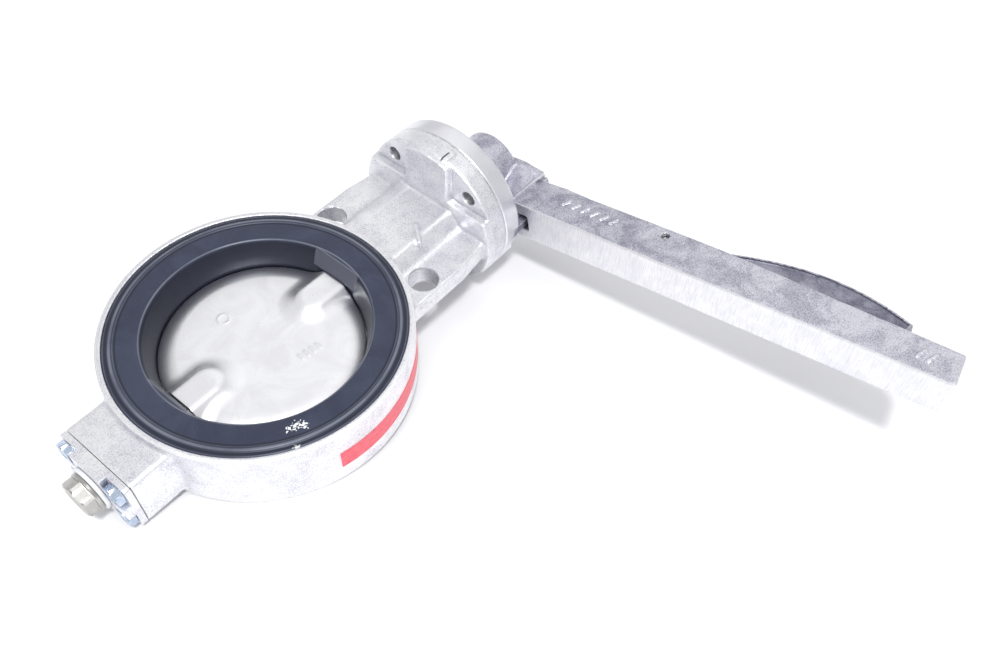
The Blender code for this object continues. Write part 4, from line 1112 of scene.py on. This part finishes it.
def refinish(material, *nodes):
    """Give frame nodes a finish."""
    for name in nodes:
        mesh = frame["nodes"][name].data
        mesh.materials.clear()
        mesh.materials.append(material)


refinish(bronze, "upper_bush", "flange_bush", "lower_bush")
refinish(rubber, "upper_stem_seal", "lower_stem_seal", "cover_seal")
refinish(stainless, "drive_shaft", "retaining_ring", "trigger_spring")


# ---------------------------------------------------------------- floor, light and camera

def make_floor():
    """A pale floor tilted under the valve, levelling out beyond it.

    Height is the tilted plane's at the floor's middle, plus its change from
    there scaled by a weight that falls from one to nothing between two radii,
    so that the far floor is level.
    """
    steps, rings = 96, 60
    radius = np.concatenate([[0.002], np.geomspace(0.02, 4.0, rings)])
    angle = 2.0 * np.pi * np.arange(steps) / steps
    centre = np.array((60.0, -60.0)) * MM
    x = centre[0] + radius[:, None] * np.cos(angle)
    y = centre[1] + radius[:, None] * np.sin(angle)
    weight = 1.0 - smooth_step(radius, 0.45, 0.95)[:, None]
    normal = np.array(FLOOR_NORMAL)
    tilt = -(normal[0] * x + normal[1] * y) / normal[2]
    middle = -(normal[0] * centre[0] + normal[1] * centre[1]) / normal[2]
    z = FLOOR_DROP + middle + (tilt - middle) * weight
    points = np.stack([x, y, z], axis=2).reshape(-1, 3)
    odd = np.arange(1, steps - 2, 2)
    cap = np.stack([0 * odd, odd, odd + 1, odd + 2], axis=1)
    quads = np.concatenate([grid_quads(rings + 1, steps)[:, ::-1], cap])
    made, tree, shader, where = finish_base("pale_floor", 0.0, 0.6)
    colour = mixed(tree, noise(tree, where, 6.0, 2.0), (0.93, 0.93, 0.94), (0.95, 0.95, 0.955))
    tree.links.new(colour, shader.inputs["Base Color"])
    shader.inputs["Specular IOR Level"].default_value = 0.2
    return new_piece("studio_floor", points / MM, quads, made, sharp=80.0)


def sink_with_stem(item, reach):
    """The floor gives way along its normal as the stem turns, so the swung lever stays above it."""
    follow = item.constraints.new("TRANSFORM")
    follow.target = bpy.data.objects["body:stem"]
    follow.owner_space = follow.target_space = "WORLD"
    follow.map_from, follow.map_to = "ROTATION", "LOCATION"
    follow.map_to_x_from = follow.map_to_y_from = follow.map_to_z_from = "X"
    follow.from_max_x_rot = math.pi / 2.0
    follow.to_max_x, follow.to_max_y, follow.to_max_z = -reach * FLOOR_NORMAL


def lowest_along_floor():
    """How far the lowest piece reaches below the valve's origin along the floor's normal."""
    lowest = 0.0
    for item in frame["nodes"].values():
        coords = np.empty(len(item.data.vertices) * 3)
        item.data.vertices.foreach_get("co", coords)
        reach = (coords.reshape(-1, 3) - ORIGIN) @ np.array(FLOOR_NORMAL)
        lowest = min(lowest, float(reach.min()))
    return lowest


FLOOR_GAP = 0.0002
FLOOR_DROP = (lowest_along_floor() - FLOOR_GAP) / FLOOR_NORMAL.z
floor = make_floor()
sink_with_stem(floor, 0.42)


def add_area(name, direction, distance, size, power, target=(0.06, -0.06, 0.0)):
    """A square soft light aimed at a target, measured from the valve's origin."""
    light = bpy.data.lights.new(name, "AREA")
    light.shape = "SQUARE"
    light.size = size
    light.energy = power
    lamp = bpy.data.objects.new(name, light)
    bpy.context.collection.objects.link(lamp)
    aim = Vector(ORIGIN) + Vector(target)
    way = Vector(direction).normalized()
    lamp.location = aim + way * distance
    lamp.rotation_mode = "QUATERNION"
    lamp.rotation_quaternion = way.to_track_quat("Z", "Y")


add_area("key_light", (-0.30, -0.30, 0.91), 4.0, 0.46, 92.0, target=(0.22, -0.05, -0.06))
add_area("back_light", (0.48, 0.36, 0.80), 1.6, 1.4, 1.6)

world = bpy.data.worlds.new("white_studio")
world.use_nodes = True
background = world.node_tree.nodes["Background"]
background.inputs["Color"].default_value = (0.98, 0.985, 1.0, 1.0)
background.inputs["Strength"].default_value = 0.77
bpy.context.scene.world = world
bpy.context.scene.view_settings.view_transform = "Standard"

# Camera: right, up and back directions about the valve, and its place in millimetres
RIGHT = (0.63191815, -0.77426603, 0.03451906)
UP = (0.60745215, 0.52244993, 0.59837109)
BACK = (-0.48133289, -0.35715287, 0.80047516)
CAMERA_AT = (-202.12, -348.51, 525.40)

lens = bpy.data.cameras.new("studio_camera")
lens.sensor_width = 36.0
lens.lens = 34.055
lens.clip_start = 0.01
camera = bpy.data.objects.new("studio_camera", lens)
bpy.context.collection.objects.link(camera)
place_at = Vector(ORIGIN) + Vector(CAMERA_AT) * MM
camera.matrix_world = Matrix.Translation(place_at) @ Matrix((RIGHT, UP, BACK)).transposed().to_4x4()
bpy.context.scene.camera = camera

bpy.context.view_layer.update()
